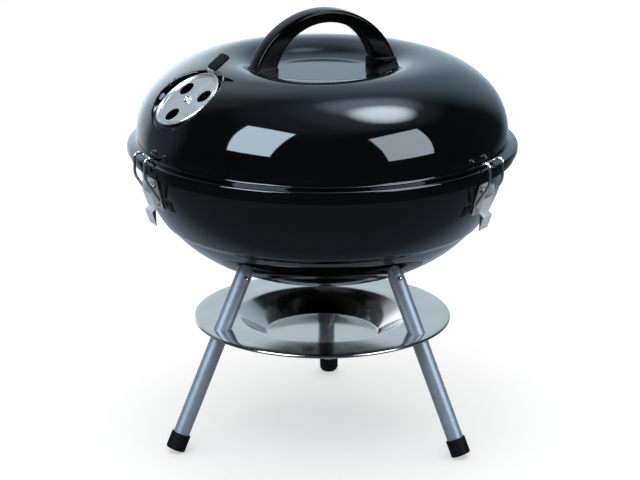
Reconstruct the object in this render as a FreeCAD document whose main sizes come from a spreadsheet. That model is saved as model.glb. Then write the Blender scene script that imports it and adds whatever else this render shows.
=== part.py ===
# Portable kettle grill: enamelled bowl and lid, three splayed legs, ash catcher,
# three wire latches, a lid handle and a turning lid damper.
# Millimetres. +Z is up, the front is -Y, the origin is on the ground under the bowl.
import FreeCAD
import Part
import math
import os
from FreeCAD import Placement, Rotation, Vector
import Sketcher

doc = FreeCAD.newDocument("kettle_grill")
sheet = doc.addObject("Spreadsheet::Sheet", "sizes")

# Driving dimensions: alias, value, meaning
SIZES = (
    ("sheet_wall", 1.0, "enamelled steel of bowl and lid"),
    ("seat_gap", 0.3, "air left between neighbouring pieces"),
    ("screw_gap", 0.1, "radial room round a screw, rivet or insert"),
    ("turn_gap", 0.06, "radial room round a pin that something turns on"),
    ("rim_height", 275.4, "height of the bowl's widest ring"),
    ("bowl_radius", 168.0, "outside of the bowl at its widest ring"),
    ("bowl_depth", 119.6, "widest ring down to the bottom, before the crease"),
    ("bowl_floor_radius", 38.0, "flat bottom of the bowl"),
    ("bowl_meet", 51.08, "angle below the widest ring where the bowl's two curves meet"),
    ("crease_angle", 36.5, "where the crease lies below the widest ring"),
    ("crease_step", 1.6, "how far the bowl steps in at the crease"),
    ("crease_width", 1.7, "angle taken by the step"),
    ("curl_radius", 4.0, "rolled rim of the bowl"),
    ("curl_drop", 7.9, "turned-down lip of the rolled rim"),
    ("air_hole_radius", 6.0, "air holes in the bowl's bottom"),
    ("air_hole_circle", 28.0, "circle that the air holes lie on"),
    ("air_hole_count", 3.0, "number of air holes"),
    ("lid_rim_room", 2.0, "room between the bowl's rolled rim and the lid's skirt"),
    ("lid_wall_stand", 1.2, "lid's upright wall out from the bowl's widest ring"),
    ("lid_skirt", 3.8, "straight edge of the lid's rim"),
    ("lid_flange_slope", 16.0, "fall of the lid's flange"),
    ("lid_edge_round", 2.0, "rounding of the flange's edge and root"),
    ("lid_wall_height", 5.4, "upright wall above the flange"),
    ("lid_rise", 66.6, "top of the upright wall to the crown"),
    ("lid_meet", 45.42, "angle above the upright wall where the lid's two curves meet"),
    ("lid_crown_radius", 93.1, "ring where the lid is highest"),
    ("recess_radius", 46.0, "flat floor of the lid's recess"),
    ("recess_depth", 11.9, "crown down to the recess floor"),
    ("recess_lip_share", 0.6, "share of the recess side that bulges"),
    ("handle_top", 57.2, "recess floor up to the top of the handle"),
    ("handle_opening_top", 46.0, "recess floor up to the underside of the grip"),
    ("handle_span", 68.75, "half width of the handle at its feet"),
    ("handle_opening", 47.8, "half width between the handle's feet"),
    ("handle_depth", 19.0, "handle from front to back"),
    ("handle_turn", 27.0, "turn of the handle seen from above"),
    ("handle_round", 3.0, "rounding of the handle's outer edges"),
    ("shoe_height", 9.0, "recess floor up to the handle's foot"),
    ("shoe_overhang", 0.4, "how far the shoe stands out round the foot"),
    ("handle_screw_radius", 2.5, "screws that hold the handle"),
    ("handle_screw_grip", 16.0, "length of the screw inside the handle"),
    ("handle_screw_head", 4.6, "radius of the screw's head"),
    ("handle_screw_head_height", 3.0, "height of the screw's head"),
    ("handle_washer_radius", 6.0, "washers under the screw heads"),
    ("handle_washer_thickness", 1.0, "thickness of those washers"),
    ("vent_turn", 213.0, "direction of the lid vent seen from above"),
    ("vent_slope", 54.0, "slope of the vent's axis above level"),
    ("vent_sink", 8.6, "crown surface down to the vent's seat"),
    ("vent_room", 3.5, "ring of room round the damper disc"),
    ("damper_radius", 32.5, "damper disc"),
    ("damper_sheet", 0.8, "thickness of the damper disc"),
    ("damper_lift", 0.2, "air under the damper disc"),
    ("damper_rim_height", 1.6, "height of the disc's raised rim"),
    ("damper_rim_width", 2.6, "width of the disc's raised rim"),
    ("damper_hole_radius", 7.25, "holes in disc and seat"),
    ("damper_hole_circle", 19.0, "circle that those holes lie on"),
    ("damper_hole_count", 3.0, "number of those holes"),
    ("tab_raise", 6.6, "seat up to the damper's tab"),
    ("tab_width", 9.0, "width of the tab"),
    ("tab_sheet", 1.0, "thickness of the tab"),
    ("tab_bend", 1.5, "bends of the tab"),
    ("tab_grip", 15.5, "length of the tab inside the grip"),
    ("grip_stand", 1.0, "disc's rim out to the near end of the grip"),
    ("grip_length", 19.0, "length of the grip"),
    ("grip_width", 14.5, "width of the grip"),
    ("grip_height", 3.4, "height of the grip"),
    ("grip_round", 1.2, "rounding of the grip"),
    ("damper_rivet_radius", 2.0, "shank of the damper's rivet"),
    ("damper_rivet_head", 4.0, "radius of the rivet's dome"),
    ("damper_rivet_dome", 2.0, "height of the rivet's dome"),
    ("damper_rivet_flat", 2.4, "radius of the flat on the rivet's dome"),
    ("damper_washer_radius", 5.5, "washer under the vent's seat"),
    ("damper_washer_thickness", 0.6, "thickness of that washer"),
    ("leg_radius", 7.5, "outside of the leg tube"),
    ("leg_wall", 1.0, "wall of the leg tube"),
    ("leg_splay", 24.3, "lean of the legs from upright"),
    ("foot_circle", 151.5, "circle that the feet stand on"),
    ("cap_wall", 1.5, "wall of the foot cap"),
    ("cap_floor", 4.0, "floor of the foot cap"),
    ("cap_length", 16.0, "length of the foot cap"),
    ("cap_flat", 1.0, "depth of the flat that the cap stands on"),
    ("insert_length", 24.0, "threaded insert in the top of the leg"),
    ("leg_bolt_radius", 3.0, "bolt from the bowl into the leg"),
    ("leg_bolt_grip", 15.0, "length of the bolt inside the insert"),
    ("leg_bolt_head", 5.5, "radius of the bolt's head"),
    ("leg_bolt_head_height", 3.5, "height of the bolt's head"),
    ("leg_rivet_drop", 4.0, "top of the leg down to its rivet"),
    ("leg_rivet_radius", 1.6, "shank of the leg's rivet"),
    ("leg_rivet_head", 2.4, "radius of that rivet's head"),
    ("leg_rivet_dome", 0.9, "height of that rivet's head"),
    ("leg_rivet_grip", 4.5, "length of that rivet's shank"),
    ("plate_margin", 16.8, "legs' axes out to the ash catcher's edge"),
    ("plate_height", 111.0, "underside of the ash catcher's flange"),
    ("plate_sheet", 0.8, "thickness of the ash catcher"),
    ("plate_bead", 1.5, "rolled edge of the ash catcher"),
    ("dish_margin", 24.2, "legs' axes in to the mouth of the ash dish"),
    ("dish_slope", 26.2, "mouth of the ash dish in to its floor"),
    ("dish_depth", 19.2, "depth of the ash dish"),
    ("dish_round", 5.0, "bends of the ash dish"),
    ("plate_leg_gap", 0.4, "room round a leg in the ash catcher"),
    ("grate_wire", 2.5, "rim wire of the grates"),
    ("rod_radius", 1.75, "rods of the grates"),
    ("rod_bite", 0.6, "how deep crossing rods are welded in"),
    ("cross_share", 0.4, "cross rods out from the middle, of the rim's radius"),
    ("cooking_pitch", 13.0, "rod spacing of the cooking grate"),
    ("charcoal_raise", 31.6, "bowl's bottom up to the charcoal grate"),
    ("charcoal_pitch", 18.0, "rod spacing of the charcoal grate"),
    ("latch_below", 26.4, "bowl's widest ring down to the middle of a latch bracket"),
    ("bracket_half", 15.0, "half length of the latch bracket"),
    ("bracket_width", 16.0, "width of the latch bracket"),
    ("bracket_sheet", 1.2, "thickness of the latch bracket"),
    ("ear_radius", 3.2, "rounded end of the bracket's ears"),
    ("latch_pin_out", 4.5, "wall of the bowl out to the latch pin"),
    ("latch_pin_up", 10.8, "middle of the bracket up to the latch pin"),
    ("latch_pin_radius", 1.5, "pin that the lever turns on"),
    ("lever_width", 20.0, "width of the latch lever"),
    ("lever_sheet", 1.0, "thickness of the latch lever"),
    ("lever_boss", 3.0, "rounded corners of the lever's cheeks"),
    ("lever_arm", 13.6, "latch pin down to the bail's eye"),
    ("lever_arm_lean", 17.0, "lean of that line towards the bowl"),
    ("lever_lip", 7.5, "latch pin down to the lever's upper edge"),
    ("lever_stand", 2.8, "lever's front out from the latch pin"),
    ("lever_face", 14.4, "length of the lever's front"),
    ("lever_lean", 20.0, "lean of the lever's front"),
    ("tail_step", 5.4, "outward bend of the lever's tail"),
    ("tail_length", 13.4, "end of the lever's tail"),
    ("tail_width", 15.0, "width of the lever's tail"),
    ("tail_bend", 1.5, "bends of the lever's tail"),
    ("bail_wire", 1.25, "wire of the bail"),
    ("bail_room", 0.35, "air between bail and lever"),
    ("bail_clear", 1.75, "air between bail and lid rim"),
    ("bail_hook", 4.15, "hook of the bail"),
    ("bail_hook_turn", 130.0, "how far the hook is bent over"),
    ("bail_hook_raise", 3.6, "lid's edge up to the middle of the hook"),
    ("bail_shoulder", 20.5, "bail's eye up to its shoulder"),
    ("bail_shoulder_round", 14.0, "bend of the bail's shoulder"),
    ("bail_corner", 2.5, "corners of the bail"),
    ("latch_rivet_radius", 1.5, "rivets of the bracket"),
    ("latch_rivet_head", 3.0, "radius of those rivets' heads"),
    ("latch_rivet_dome", 1.0, "height of those rivets' heads"),
    ("latch_rivet_upper", 3.5, "middle of the bracket up to the upper rivet"),
    ("latch_rivet_lower", 10.0, "middle of the bracket down to the lower rivet"),
)
for row, (alias, value, meaning) in enumerate(SIZES, start=1):
    sheet.set("A%d" % row, alias.replace("_", " "))
    sheet.set("B%d" % row, str(value))
    sheet.set("C%d" % row, meaning)
    sheet.setAlias("B%d" % row, alias)
doc.recompute()


def size(alias):
    """One driving dimension, read from the sheet."""
    return float(sheet.get(alias))


# Legs and latches stand in these three directions, seen from above
SIDES = {"rear": 90.0, "left": 210.0, "right": 330.0}
# The leg rivets were set with the legs screwed home, each turned differently
RIVET_TURN = {"rear": 180.0, "left": 88.0, "right": -32.0}
FULL_TURN = 360.0
# Finding where a leg meets the bowl: points round its edge, and halvings of the search
EDGE_POINTS = 36
HALVINGS = 50
# Two radii this close are the same arc
SAME = 1e-3
UP = Vector(0, 0, 1)
ORIGIN = Vector(0, 0, 0)


def cosd(angle):
    return math.cos(math.radians(angle))


def sind(angle):
    return math.sin(math.radians(angle))


def polar(center, radius, angle):
    """Point at an angle round a centre, in a flat outline."""
    return (center[0] + radius * cosd(angle), center[1] + radius * sind(angle))


def turned(azimuth, place=None):
    """Placement swung round the grill's axis."""
    swing = Placement(ORIGIN, Rotation(UP, azimuth))
    return swing if place is None else swing.multiply(place)


# Outlines: a run of straight and round stretches
def line(start, end):
    return ("line", start, end)


def arc(center, radius, start, end):
    return ("arc", center, radius, start, end)


def first_point(part):
    return part[1] if part[0] == "line" else polar(part[1], part[2], part[3])


def last_point(part):
    return part[2] if part[0] == "line" else polar(part[1], part[2], part[4])


def moved_left(part, distance):
    """The same stretch, moved to the left of its direction of travel."""
    if part[0] == "line":
        (x0, y0), (x1, y1) = part[1], part[2]
        length = math.hypot(x1 - x0, y1 - y0)
        dx = -(y1 - y0) / length * distance
        dy = (x1 - x0) / length * distance
        return line((x0 + dx, y0 + dy), (x1 + dx, y1 + dy))
    _, center, radius, start, end = part
    inward = distance if end > start else -distance
    return arc(center, radius - inward, start, end)


def backwards(part):
    if part[0] == "line":
        return line(part[2], part[1])
    return arc(part[1], part[2], part[4], part[3])


def offset_run(run, distance):
    """A run beside another one; straight stretches are drawn between the round ones."""
    beside = [moved_left(part, distance) for part in run]
    for i, part in enumerate(beside):
        if part[0] == "arc":
            continue
        start, end = part[1], part[2]
        if i > 0 and beside[i - 1][0] == "arc":
            start = last_point(beside[i - 1])
        if i + 1 < len(beside) and beside[i + 1][0] == "arc":
            end = first_point(beside[i + 1])
        beside[i] = line(start, end)
    return beside


def sheet_outline(run, thickness):
    """Closed outline of sheet metal lying to the left of a run."""
    beside = offset_run(run, thickness)
    back = [backwards(part) for part in reversed(beside)]
    cap = line(last_point(run[-1]), first_point(back[0]))
    closing = line(last_point(back[-1]), first_point(run[0]))
    return list(run) + [cap] + back + [closing]


def rounded_run(points, radii):
    """Straight stretches through points, with each inner corner rounded."""
    run = []
    here = points[0]
    for before, corner, after, radius in zip(points, points[1:], points[2:], radii):
        into = math.degrees(math.atan2(corner[1] - before[1], corner[0] - before[0]))
        out = math.degrees(math.atan2(after[1] - corner[1], after[0] - corner[0]))
        bend = (out - into + 180.0) % FULL_TURN - 180.0
        reach = radius * abs(math.tan(math.radians(bend / 2)))
        start = polar(corner, -reach, into)
        side = 90.0 if bend > 0 else -90.0
        center = polar(start, radius, into + side)
        run.append(line(here, start))
        run.append(arc(center, radius, into - side, into - side + bend))
        here = last_point(run[-1])
    run.append(line(here, points[-1]))
    return run


def closed_polygon(points):
    return [line(p, q) for p, q in zip(points, points[1:] + points[:1])]


# Bodies, sketches and features
def bind(thing, path, expression):
    """Tie a property to the sheet."""
    thing.setExpression(path, expression)


def cell(alias):
    return "sizes." + alias


def new_body(name):
    body = doc.addObject("PartDesign::Body", name)
    body.Label = name
    return body


def new_sketch(body, name, role="XZ_Plane"):
    sketch = body.newObject("Sketcher::SketchObject", name)
    plane = [f for f in body.Origin.OriginFeatures if f.Role == role][0]
    sketch.AttachmentSupport = (plane, [""])
    sketch.MapMode = "FlatFace"
    return sketch


def draw(sketch, outline):
    """Draw a closed outline, its stretches joined end to end."""
    ends = []
    for part in outline:
        if part[0] == "line":
            index = sketch.addGeometry(Part.LineSegment(Vector(*part[1]), Vector(*part[2])), False)
            ends.append((index, 1, 2))
            continue
        _, center, radius, start, end = part
        low, high = min(start, end), max(start, end)
        circle = Part.Circle(Vector(*center), UP, radius)
        round_part = Part.ArcOfCircle(circle, math.radians(low), math.radians(high))
        index = sketch.addGeometry(round_part, False)
        ends.append((index, 1, 2) if end > start else (index, 2, 1))
    for (this, _, leave), (after, enter, _) in zip(ends, ends[1:] + ends[:1]):
        sketch.addConstraint(Sketcher.Constraint("Coincident", this, leave, after, enter))
    return [index for index, _, _ in ends]


def draw_circle(sketch, center, alias):
    """A circle whose radius is a driving dimension."""
    index = sketch.addGeometry(Part.Circle(Vector(*center), UP, size(alias)), False)
    hold = sketch.addConstraint(Sketcher.Constraint("Radius", index, size(alias)))
    bind(sketch, "Constraints[%d]" % hold, cell(alias))
    return index


def hold_radius(sketch, index, expression, value):
    hold = sketch.addConstraint(Sketcher.Constraint("Radius", index, value))
    bind(sketch, "Constraints[%d]" % hold, expression)


def hold_reach(sketch, index, end, expression, value):
    """Tie a point's distance from the axis to the sheet."""
    hold = sketch.addConstraint(Sketcher.Constraint("DistanceX", -1, 1, index, end, value))
    bind(sketch, "Constraints[%d]" % hold, expression)


def revolve(body, sketch):
    turn = body.newObject("PartDesign::Revolution", body.Name + "_turn")
    turn.Profile = sketch
    turn.ReferenceAxis = (sketch, ["V_Axis"])
    turn.Angle = FULL_TURN
    return turn


def turned_body(name, outline):
    """A round piece turned from a closed outline of radius and height."""
    body = new_body(name)
    sketch = new_sketch(body, name + "_outline")
    draw(sketch, outline)
    revolve(body, sketch)
    return body, sketch


def pad(body, sketch, name, expression):
    """Thicken an outline evenly to both sides."""
    feature = body.newObject("PartDesign::Pad", name)
    feature.Profile = sketch
    feature.Midplane = True
    bind(feature, "Length", expression)
    return feature


def pocket(body, sketch, name, expression):
    """Cut an outline evenly to both sides."""
    feature = body.newObject("PartDesign::Pocket", name)
    feature.Profile = sketch
    feature.Midplane = True
    bind(feature, "Length", expression)
    return feature


def cylinder(name, radius, height, place):
    """Round bar from a place along its own Z; radius and height are sheet expressions."""
    bar = doc.addObject("Part::Cylinder", name)
    bind(bar, "Radius", radius)
    bind(bar, "Height", height)
    bar.Placement = place
    return bar


def drill(name, radius, place, reach):
    """Round cutter that passes a place by a driving dimension, before and behind."""
    start = place.multiply(Placement(UP * -size(reach), Rotation()))
    return cylinder(name, radius, "2 * " + cell(reach), start)


def cut(name, base, tools):
    """Take tools away from a base, one after the other."""
    result = base
    for i, tool in enumerate(tools):
        step = doc.addObject("Part::Cut", "%s_cut%d" % (name, i))
        step.Base = result
        step.Tool = tool
        result = step
    result.Label = name
    return result


def fuse(name, pieces):
    joined = doc.addObject("Part::MultiFuse", name + "_joined")
    joined.Shapes = pieces
    joined.Label = name
    return joined


def group(name, solids):
    """Identical fasteners as one group of separate solids."""
    together = doc.addObject("Part::Feature", name)
    together.Label = name
    together.Shape = Part.makeCompound(solids)
    return together


def two_arcs(reach, rise, meet):
    """Radii of a side arc and an end arc that meet smoothly at an angle from level."""
    across, along = cosd(meet), sind(meet)
    rest = 1 - across - along
    side = (reach * (1 - along) - rise * across) / rest
    end = (rise * (1 - across) - reach * along) / rest
    return side, end


nodes = {}
wall = size("sheet_wall")
gap = size("seat_gap")

# Bowl: floor, two curves with a crease between them, rolled rim
bowl_reach = size("bowl_radius") - size("bowl_floor_radius")
bowl_meet = size("bowl_meet")
side_radius, lower_radius = two_arcs(bowl_reach, size("bowl_depth"), bowl_meet)
bowl_center = (size("bowl_radius") - side_radius, size("rim_height"))
side_in = side_radius - wall
low_in = side_in - size("crease_step")
floor_in = lower_radius - wall - size("crease_step")
lower_center = (size("bowl_floor_radius"), size("rim_height") - size("bowl_depth") + lower_radius)
bowl_floor = lower_center[1] - floor_in
crease_low = FULL_TURN - size("crease_angle") - size("crease_width")
crease_high = FULL_TURN - size("crease_angle")
curl_center = (size("bowl_radius") - wall + size("curl_radius"), size("rim_height"))
lip = curl_center[0] + size("curl_radius")
bowl_run = [
    line((0.0, bowl_floor), (size("bowl_floor_radius"), bowl_floor)),
    arc(lower_center, floor_in, 270.0, FULL_TURN - bowl_meet),
    arc(bowl_center, low_in, FULL_TURN - bowl_meet, crease_low),
    line(polar(bowl_center, low_in, crease_low), polar(bowl_center, side_in, crease_high)),
    arc(bowl_center, side_in, crease_high, FULL_TURN),
    arc(curl_center, size("curl_radius"), 180.0, 0.0),
    line((lip, curl_center[1]), (lip, curl_center[1] - size("curl_drop"))),
]
bowl_body, bowl_sketch = turned_body("bowl_blank", sheet_outline(bowl_run, -wall))
hold_reach(bowl_sketch, 0, 2, cell("bowl_floor_radius"), size("bowl_floor_radius"))
hold_radius(bowl_sketch, 5, cell("curl_radius"), size("curl_radius"))


def bowl_outside(height):
    """Radius of the bowl's outer face above the crease."""
    drop = size("rim_height") - height
    return bowl_center[0] + math.sqrt(side_radius ** 2 - drop ** 2)


def ring_inside(height, clearance):
    """Radius of a level ring that keeps a clearance to the bowl's inner face below the crease."""
    reach = floor_in - clearance
    drop = lower_center[1] - height
    if drop > reach * sind(bowl_meet):
        return lower_center[0] + math.sqrt(reach ** 2 - drop ** 2)
    drop = bowl_center[1] - height
    return bowl_center[0] + math.sqrt((low_in - clearance) ** 2 - drop ** 2)


def depth_below_bowl(point, radius):
    """Distance of a point from the lower curve of a given radius, outside it positive."""
    away = math.hypot(point.x, point.y)
    return math.hypot(away - lower_center[0], point.z - lower_center[1]) - radius


# Legs: a straight line from each foot up and inwards to the bowl
cap_radius = size("leg_radius") + size("cap_wall")
foot_point = Vector(size("foot_circle"), 0, cap_radius * sind(size("leg_splay")) - size("cap_flat"))
leg_up = Vector(-sind(size("leg_splay")), 0, cosd(size("leg_splay")))
leg_place = Placement(foot_point, Rotation(UP, leg_up))
low_outer = floor_in + wall


def along_leg(distance):
    """Placement on the leg's axis, measured up from the foot."""
    return leg_place.multiply(Placement(UP * distance, Rotation()))


def leg_meets(radius, disc, clearance):
    """How far up the leg a square-cut disc comes within a clearance of a bowl curve."""
    around = [FULL_TURN * i / EDGE_POINTS for i in range(EDGE_POINTS)]
    low, high = 0.0, size("rim_height")
    for _ in range(HALVINGS):
        middle = (low + high) / 2
        place = along_leg(middle)
        edge = [place.multVec(Vector(disc * cosd(a), disc * sind(a), 0)) for a in around]
        near = min(depth_below_bowl(point, radius) for point in edge)
        if near > clearance:
            low = middle
        else:
            high = middle
    return low


leg_top = leg_meets(low_outer, size("leg_radius"), gap)
bolt_seat = leg_meets(floor_in, 0.0, 0.0) + size("leg_bolt_head") * sind(size("leg_splay"))


def bar_shape(radius, low, high, place):
    """Plain round bar between two heights of a placement."""
    start = place.multVec(UP * low)
    direction = place.Rotation.multVec(UP)
    return Part.makeCylinder(radius, high - low, start, direction)


# Latch bracket frame: on the bowl's wall, +X square out of it, +Z up along it
latch_drop = math.degrees(math.asin(size("latch_below") / side_radius))
latch_spot = polar(bowl_center, side_radius, -latch_drop)
latch_place = Placement(Vector(latch_spot[0], 0, latch_spot[1]), Rotation(Vector(0, 1, 0), latch_drop))
rivet_heights = (size("latch_rivet_upper"), -size("latch_rivet_lower"))


def rivet_place(azimuth, height):
    """Placement of a bracket rivet: its own Z points out of the bowl."""
    local = Placement(Vector(0, 0, height), Rotation(UP, Vector(1, 0, 0)))
    return turned(azimuth, latch_place.multiply(local))


def bowl_hollow(height):
    """How far the curved wall falls back behind the flat bracket."""
    return height ** 2 / (2 * side_radius)


# Holes of the bowl: air, leg bolts and bracket rivets
bowl_holes = []
air_count = int(size("air_hole_count"))
for i in range(air_count):
    spot = polar((0, 0), size("air_hole_circle"), FULL_TURN * i / air_count)
    place = Placement(Vector(spot[0], spot[1], bowl_floor), Rotation())
    bowl_holes.append(drill("air_hole_%d" % i, cell("air_hole_radius"), place, "air_hole_radius"))
for side, azimuth in SIDES.items():
    place = turned(azimuth, along_leg(leg_top))
    radius = "sizes.leg_bolt_radius + sizes.screw_gap"
    bowl_holes.append(drill("bolt_hole_" + side, radius, place, "leg_bolt_grip"))
    for i, height in enumerate(rivet_heights):
        place = rivet_place(azimuth, height)
        radius = "sizes.latch_rivet_radius + sizes.screw_gap"
        bowl_holes.append(drill("rivet_hole_%s_%d" % (side, i), radius, place, "latch_rivet_head"))
nodes["bowl_shell"] = cut("bowl_shell", bowl_body, bowl_holes)

# Lid: skirt, sloping flange, upright wall, two curves, crown and recess
flange_normal = 90.0 - size("lid_flange_slope")
flange_spot = polar(curl_center, size("curl_radius") + gap + wall, flange_normal)
edge_round = size("lid_edge_round")


def flange_height(radius, above):
    """Height of a point that lies a distance above the flange's face."""
    across = (radius - flange_spot[0]) * cosd(flange_normal)
    return flange_spot[1] + (above - across) / sind(flange_normal)


lid_rim = size("bowl_radius") + 2 * size("curl_radius") + size("lid_rim_room")
lid_wall = size("bowl_radius") + size("lid_wall_stand")
edge_out = lid_rim - edge_round
edge_center = (edge_out, flange_height(edge_out, -edge_round))
root_out = lid_wall + edge_round
root_center = (root_out, flange_height(root_out, edge_round))
lid_bottom = edge_center[1] - size("lid_skirt")
shoulder = root_center[1] + size("lid_wall_height")
crown = shoulder + size("lid_rise")
recess_floor = crown - size("recess_depth")
lid_meet = size("lid_meet")
lid_side, crown_radius = two_arcs(lid_wall - size("lid_crown_radius"), size("lid_rise"), lid_meet)
crown_center = (size("lid_crown_radius"), crown - crown_radius)
side_center = (lid_wall - lid_side, shoulder)
recess_run = size("lid_crown_radius") - size("recess_radius")
recess_sum = (recess_run ** 2 + size("recess_depth") ** 2) / (2 * size("recess_depth"))
recess_turn = math.degrees(math.asin(recess_run / recess_sum))
lip_radius = recess_sum * size("recess_lip_share")
dip_radius = recess_sum - lip_radius
recess_part = [
    arc((size("lid_crown_radius"), crown - lip_radius), lip_radius, 90.0, 90.0 + recess_turn),
    arc((size("recess_radius"), recess_floor + dip_radius), dip_radius, 270.0 + recess_turn, 270.0),
    line((size("recess_radius"), recess_floor), (0.0, recess_floor)),
]
lid_run = [
    line((lid_rim, lid_bottom), (lid_rim, edge_center[1])),
    arc(edge_center, edge_round, 0.0, flange_normal),
    line(polar(edge_center, edge_round, flange_normal), polar(root_center, -edge_round, flange_normal)),
    arc(root_center, edge_round, 180.0 + flange_normal, 180.0),
    line((lid_wall, root_center[1]), (lid_wall, shoulder)),
    arc(side_center, lid_side, 0.0, lid_meet),
    arc(crown_center, crown_radius, lid_meet, 90.0),
] + recess_part
lid_body, lid_sketch = turned_body("lid_blank", sheet_outline(lid_run, wall))
rim_cells = "sizes.bowl_radius + 2 * sizes.curl_radius + sizes.lid_rim_room"
hold_reach(lid_sketch, 0, 1, rim_cells, lid_rim)
hold_radius(lid_sketch, 1, cell("lid_edge_round"), edge_round)
lid_filled = lid_run + [
    line((0.0, recess_floor), (0.0, lid_bottom)),
    line((0.0, lid_bottom), (lid_rim, lid_bottom)),
]
lid_form, _ = turned_body("lid_form", lid_filled)

# Vent frame: Z out of the lid along the vent's axis, X uphill
vent_point = polar(crown_center, crown_radius - size("vent_sink"), size("vent_slope"))
vent_axis = Vector(cosd(size("vent_slope")), 0, sind(size("vent_slope")))
vent_uphill = Vector(-sind(size("vent_slope")), 0, cosd(size("vent_slope")))
vent_rotation = Rotation(vent_uphill, vent_axis.cross(vent_uphill), vent_axis, "ZXY")
vent_spot = Vector(vent_point[0], 0, vent_point[1])
vent_place = turned(size("vent_turn"), Placement(vent_spot, vent_rotation))
vent_deep = vent_place.multiply(Placement(UP * -wall, Rotation()))
pocket_radius = "sizes.damper_radius + sizes.vent_room"
hole_count = int(size("damper_hole_count"))
hole_spots = [
    polar((0, 0), size("damper_hole_circle"), 180.0 + FULL_TURN * i / hole_count) for i in range(hole_count)
]
cup = doc.addObject("Part::Common", "vent_cup")
cup.Base = cylinder("vent_cup_bar", pocket_radius + " + sizes.sheet_wall", cell("lid_rise"), vent_deep)
cup.Tool = lid_form
lid_cuts = [cylinder("vent_pocket", pocket_radius, cell("lid_rise"), vent_place)]
for i, spot in enumerate(hole_spots):
    place = vent_place.multiply(Placement(Vector(spot[0], spot[1], 0), Rotation()))
    lid_cuts.append(drill("vent_hole_%d" % i, cell("damper_hole_radius"), place, "damper_hole_radius"))
rivet_room = "sizes.damper_rivet_radius + sizes.screw_gap"
lid_cuts.append(drill("vent_rivet_hole", rivet_room, vent_place, "damper_rivet_head"))
screw_spot = size("recess_radius") + size("handle_washer_radius")
screw_room = "sizes.handle_screw_radius + sizes.screw_gap"
HANDLE_SIDES = {"left": -1.0, "right": 1.0}
for side, sign in HANDLE_SIDES.items():
    place = turned(size("handle_turn"), Placement(Vector(sign * screw_spot, 0, recess_floor), Rotation()))
    lid_cuts.append(drill("handle_hole_" + side, screw_room, place, "shoe_height"))
lid_with_cup = fuse("lid_with_cup", [lid_body, cup])
nodes["lid_shell"] = cut("lid_shell", lid_with_cup, lid_cuts)

# Handle shoes: blocks that follow the recess and carry the handle's feet
above_recess = [moved_left(part, -gap) for part in recess_part]
under = recess_floor - size("shoe_height")
recess_mould, _ = turned_body("recess_mould", above_recess + closed_polygon([
    (0.0, recess_floor + gap),
    (0.0, under),
    (size("lid_crown_radius"), under),
    first_point(above_recess[0]),
])[:-1])
shoe_inner = size("handle_opening") - size("shoe_overhang")
foot_level = recess_floor + size("shoe_height")
for side, sign in HANDLE_SIDES.items():
    block = doc.addObject("Part::Box", "shoe_block_" + side)
    bind(block, "Length", "sizes.handle_span - sizes.handle_opening + 2 * sizes.shoe_overhang")
    bind(block, "Width", "sizes.handle_depth + 2 * sizes.shoe_overhang")
    bind(block, "Height", cell("shoe_height"))
    front = -size("handle_depth") / 2 - size("shoe_overhang")
    near = shoe_inner if sign > 0 else -size("handle_span") - size("shoe_overhang")
    block.Placement = Placement(Vector(near, front, recess_floor), Rotation())
    place = Placement(Vector(sign * screw_spot, 0, foot_level), Rotation())
    bore = drill("shoe_bore_" + side, screw_room, place, "handle_screw_grip")
    name = "handle_shoe_" + side
    nodes[name] = cut(name, block, [recess_mould, bore])
    nodes[name].Placement = turned(size("handle_turn"))


# Handle: an arch, thin at the top and wide at the feet
def arch(half_span, top):
    """Centre height and radius of an arch standing on the handle's shoes."""
    rise = top - size("shoe_height")
    radius = (half_span ** 2 + rise ** 2) / (2 * rise)
    return recess_floor + top - radius, radius


outer_center, outer_radius = arch(size("handle_span"), size("handle_top"))
inner_center, inner_radius = arch(size("handle_opening"), size("handle_opening_top"))
outer_foot = math.degrees(math.atan2(foot_level - outer_center, size("handle_span")))
inner_foot = math.degrees(math.atan2(foot_level - inner_center, size("handle_opening")))
handle_outline = [
    arc((0.0, outer_center), outer_radius, outer_foot, 180.0 - outer_foot),
    line((-size("handle_span"), foot_level), (-size("handle_opening"), foot_level)),
    arc((0.0, inner_center), inner_radius, 180.0 - inner_foot, inner_foot),
    line((size("handle_opening"), foot_level), (size("handle_span"), foot_level)),
]
handle_body = new_body("handle_blank")
handle_sketch = new_sketch(handle_body, "handle_outline")
draw(handle_sketch, handle_outline)
hold_reach(handle_sketch, 3, 2, cell("handle_span"), size("handle_span"))
handle_arch = pad(handle_body, handle_sketch, "handle_arch", cell("handle_depth"))
doc.recompute()


def arch_edges(radius):
    """Names of the long round edges of the arch with a given radius."""
    found = []
    for i, edge in enumerate(handle_arch.Shape.Edges, start=1):
        curve = edge.Curve
        if isinstance(curve, Part.Circle) and abs(curve.Radius - radius) < SAME:
            found.append("Edge%d" % i)
    return found


outer_fillet = handle_body.newObject("PartDesign::Fillet", "handle_outer_round")
outer_fillet.Base = (handle_arch, arch_edges(outer_radius))
bind(outer_fillet, "Radius", cell("handle_round"))
handle_bores = []
for side, sign in HANDLE_SIDES.items():
    start = Placement(Vector(sign * screw_spot, 0, foot_level - wall), Rotation())
    height = "sizes.handle_screw_grip + 2 * sizes.sheet_wall"
    handle_bores.append(cylinder("handle_bore_" + side, screw_room, height, start))
nodes["lid_handle"] = cut("lid_handle", handle_body, handle_bores)
nodes["lid_handle"].Placement = turned(size("handle_turn"))

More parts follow.
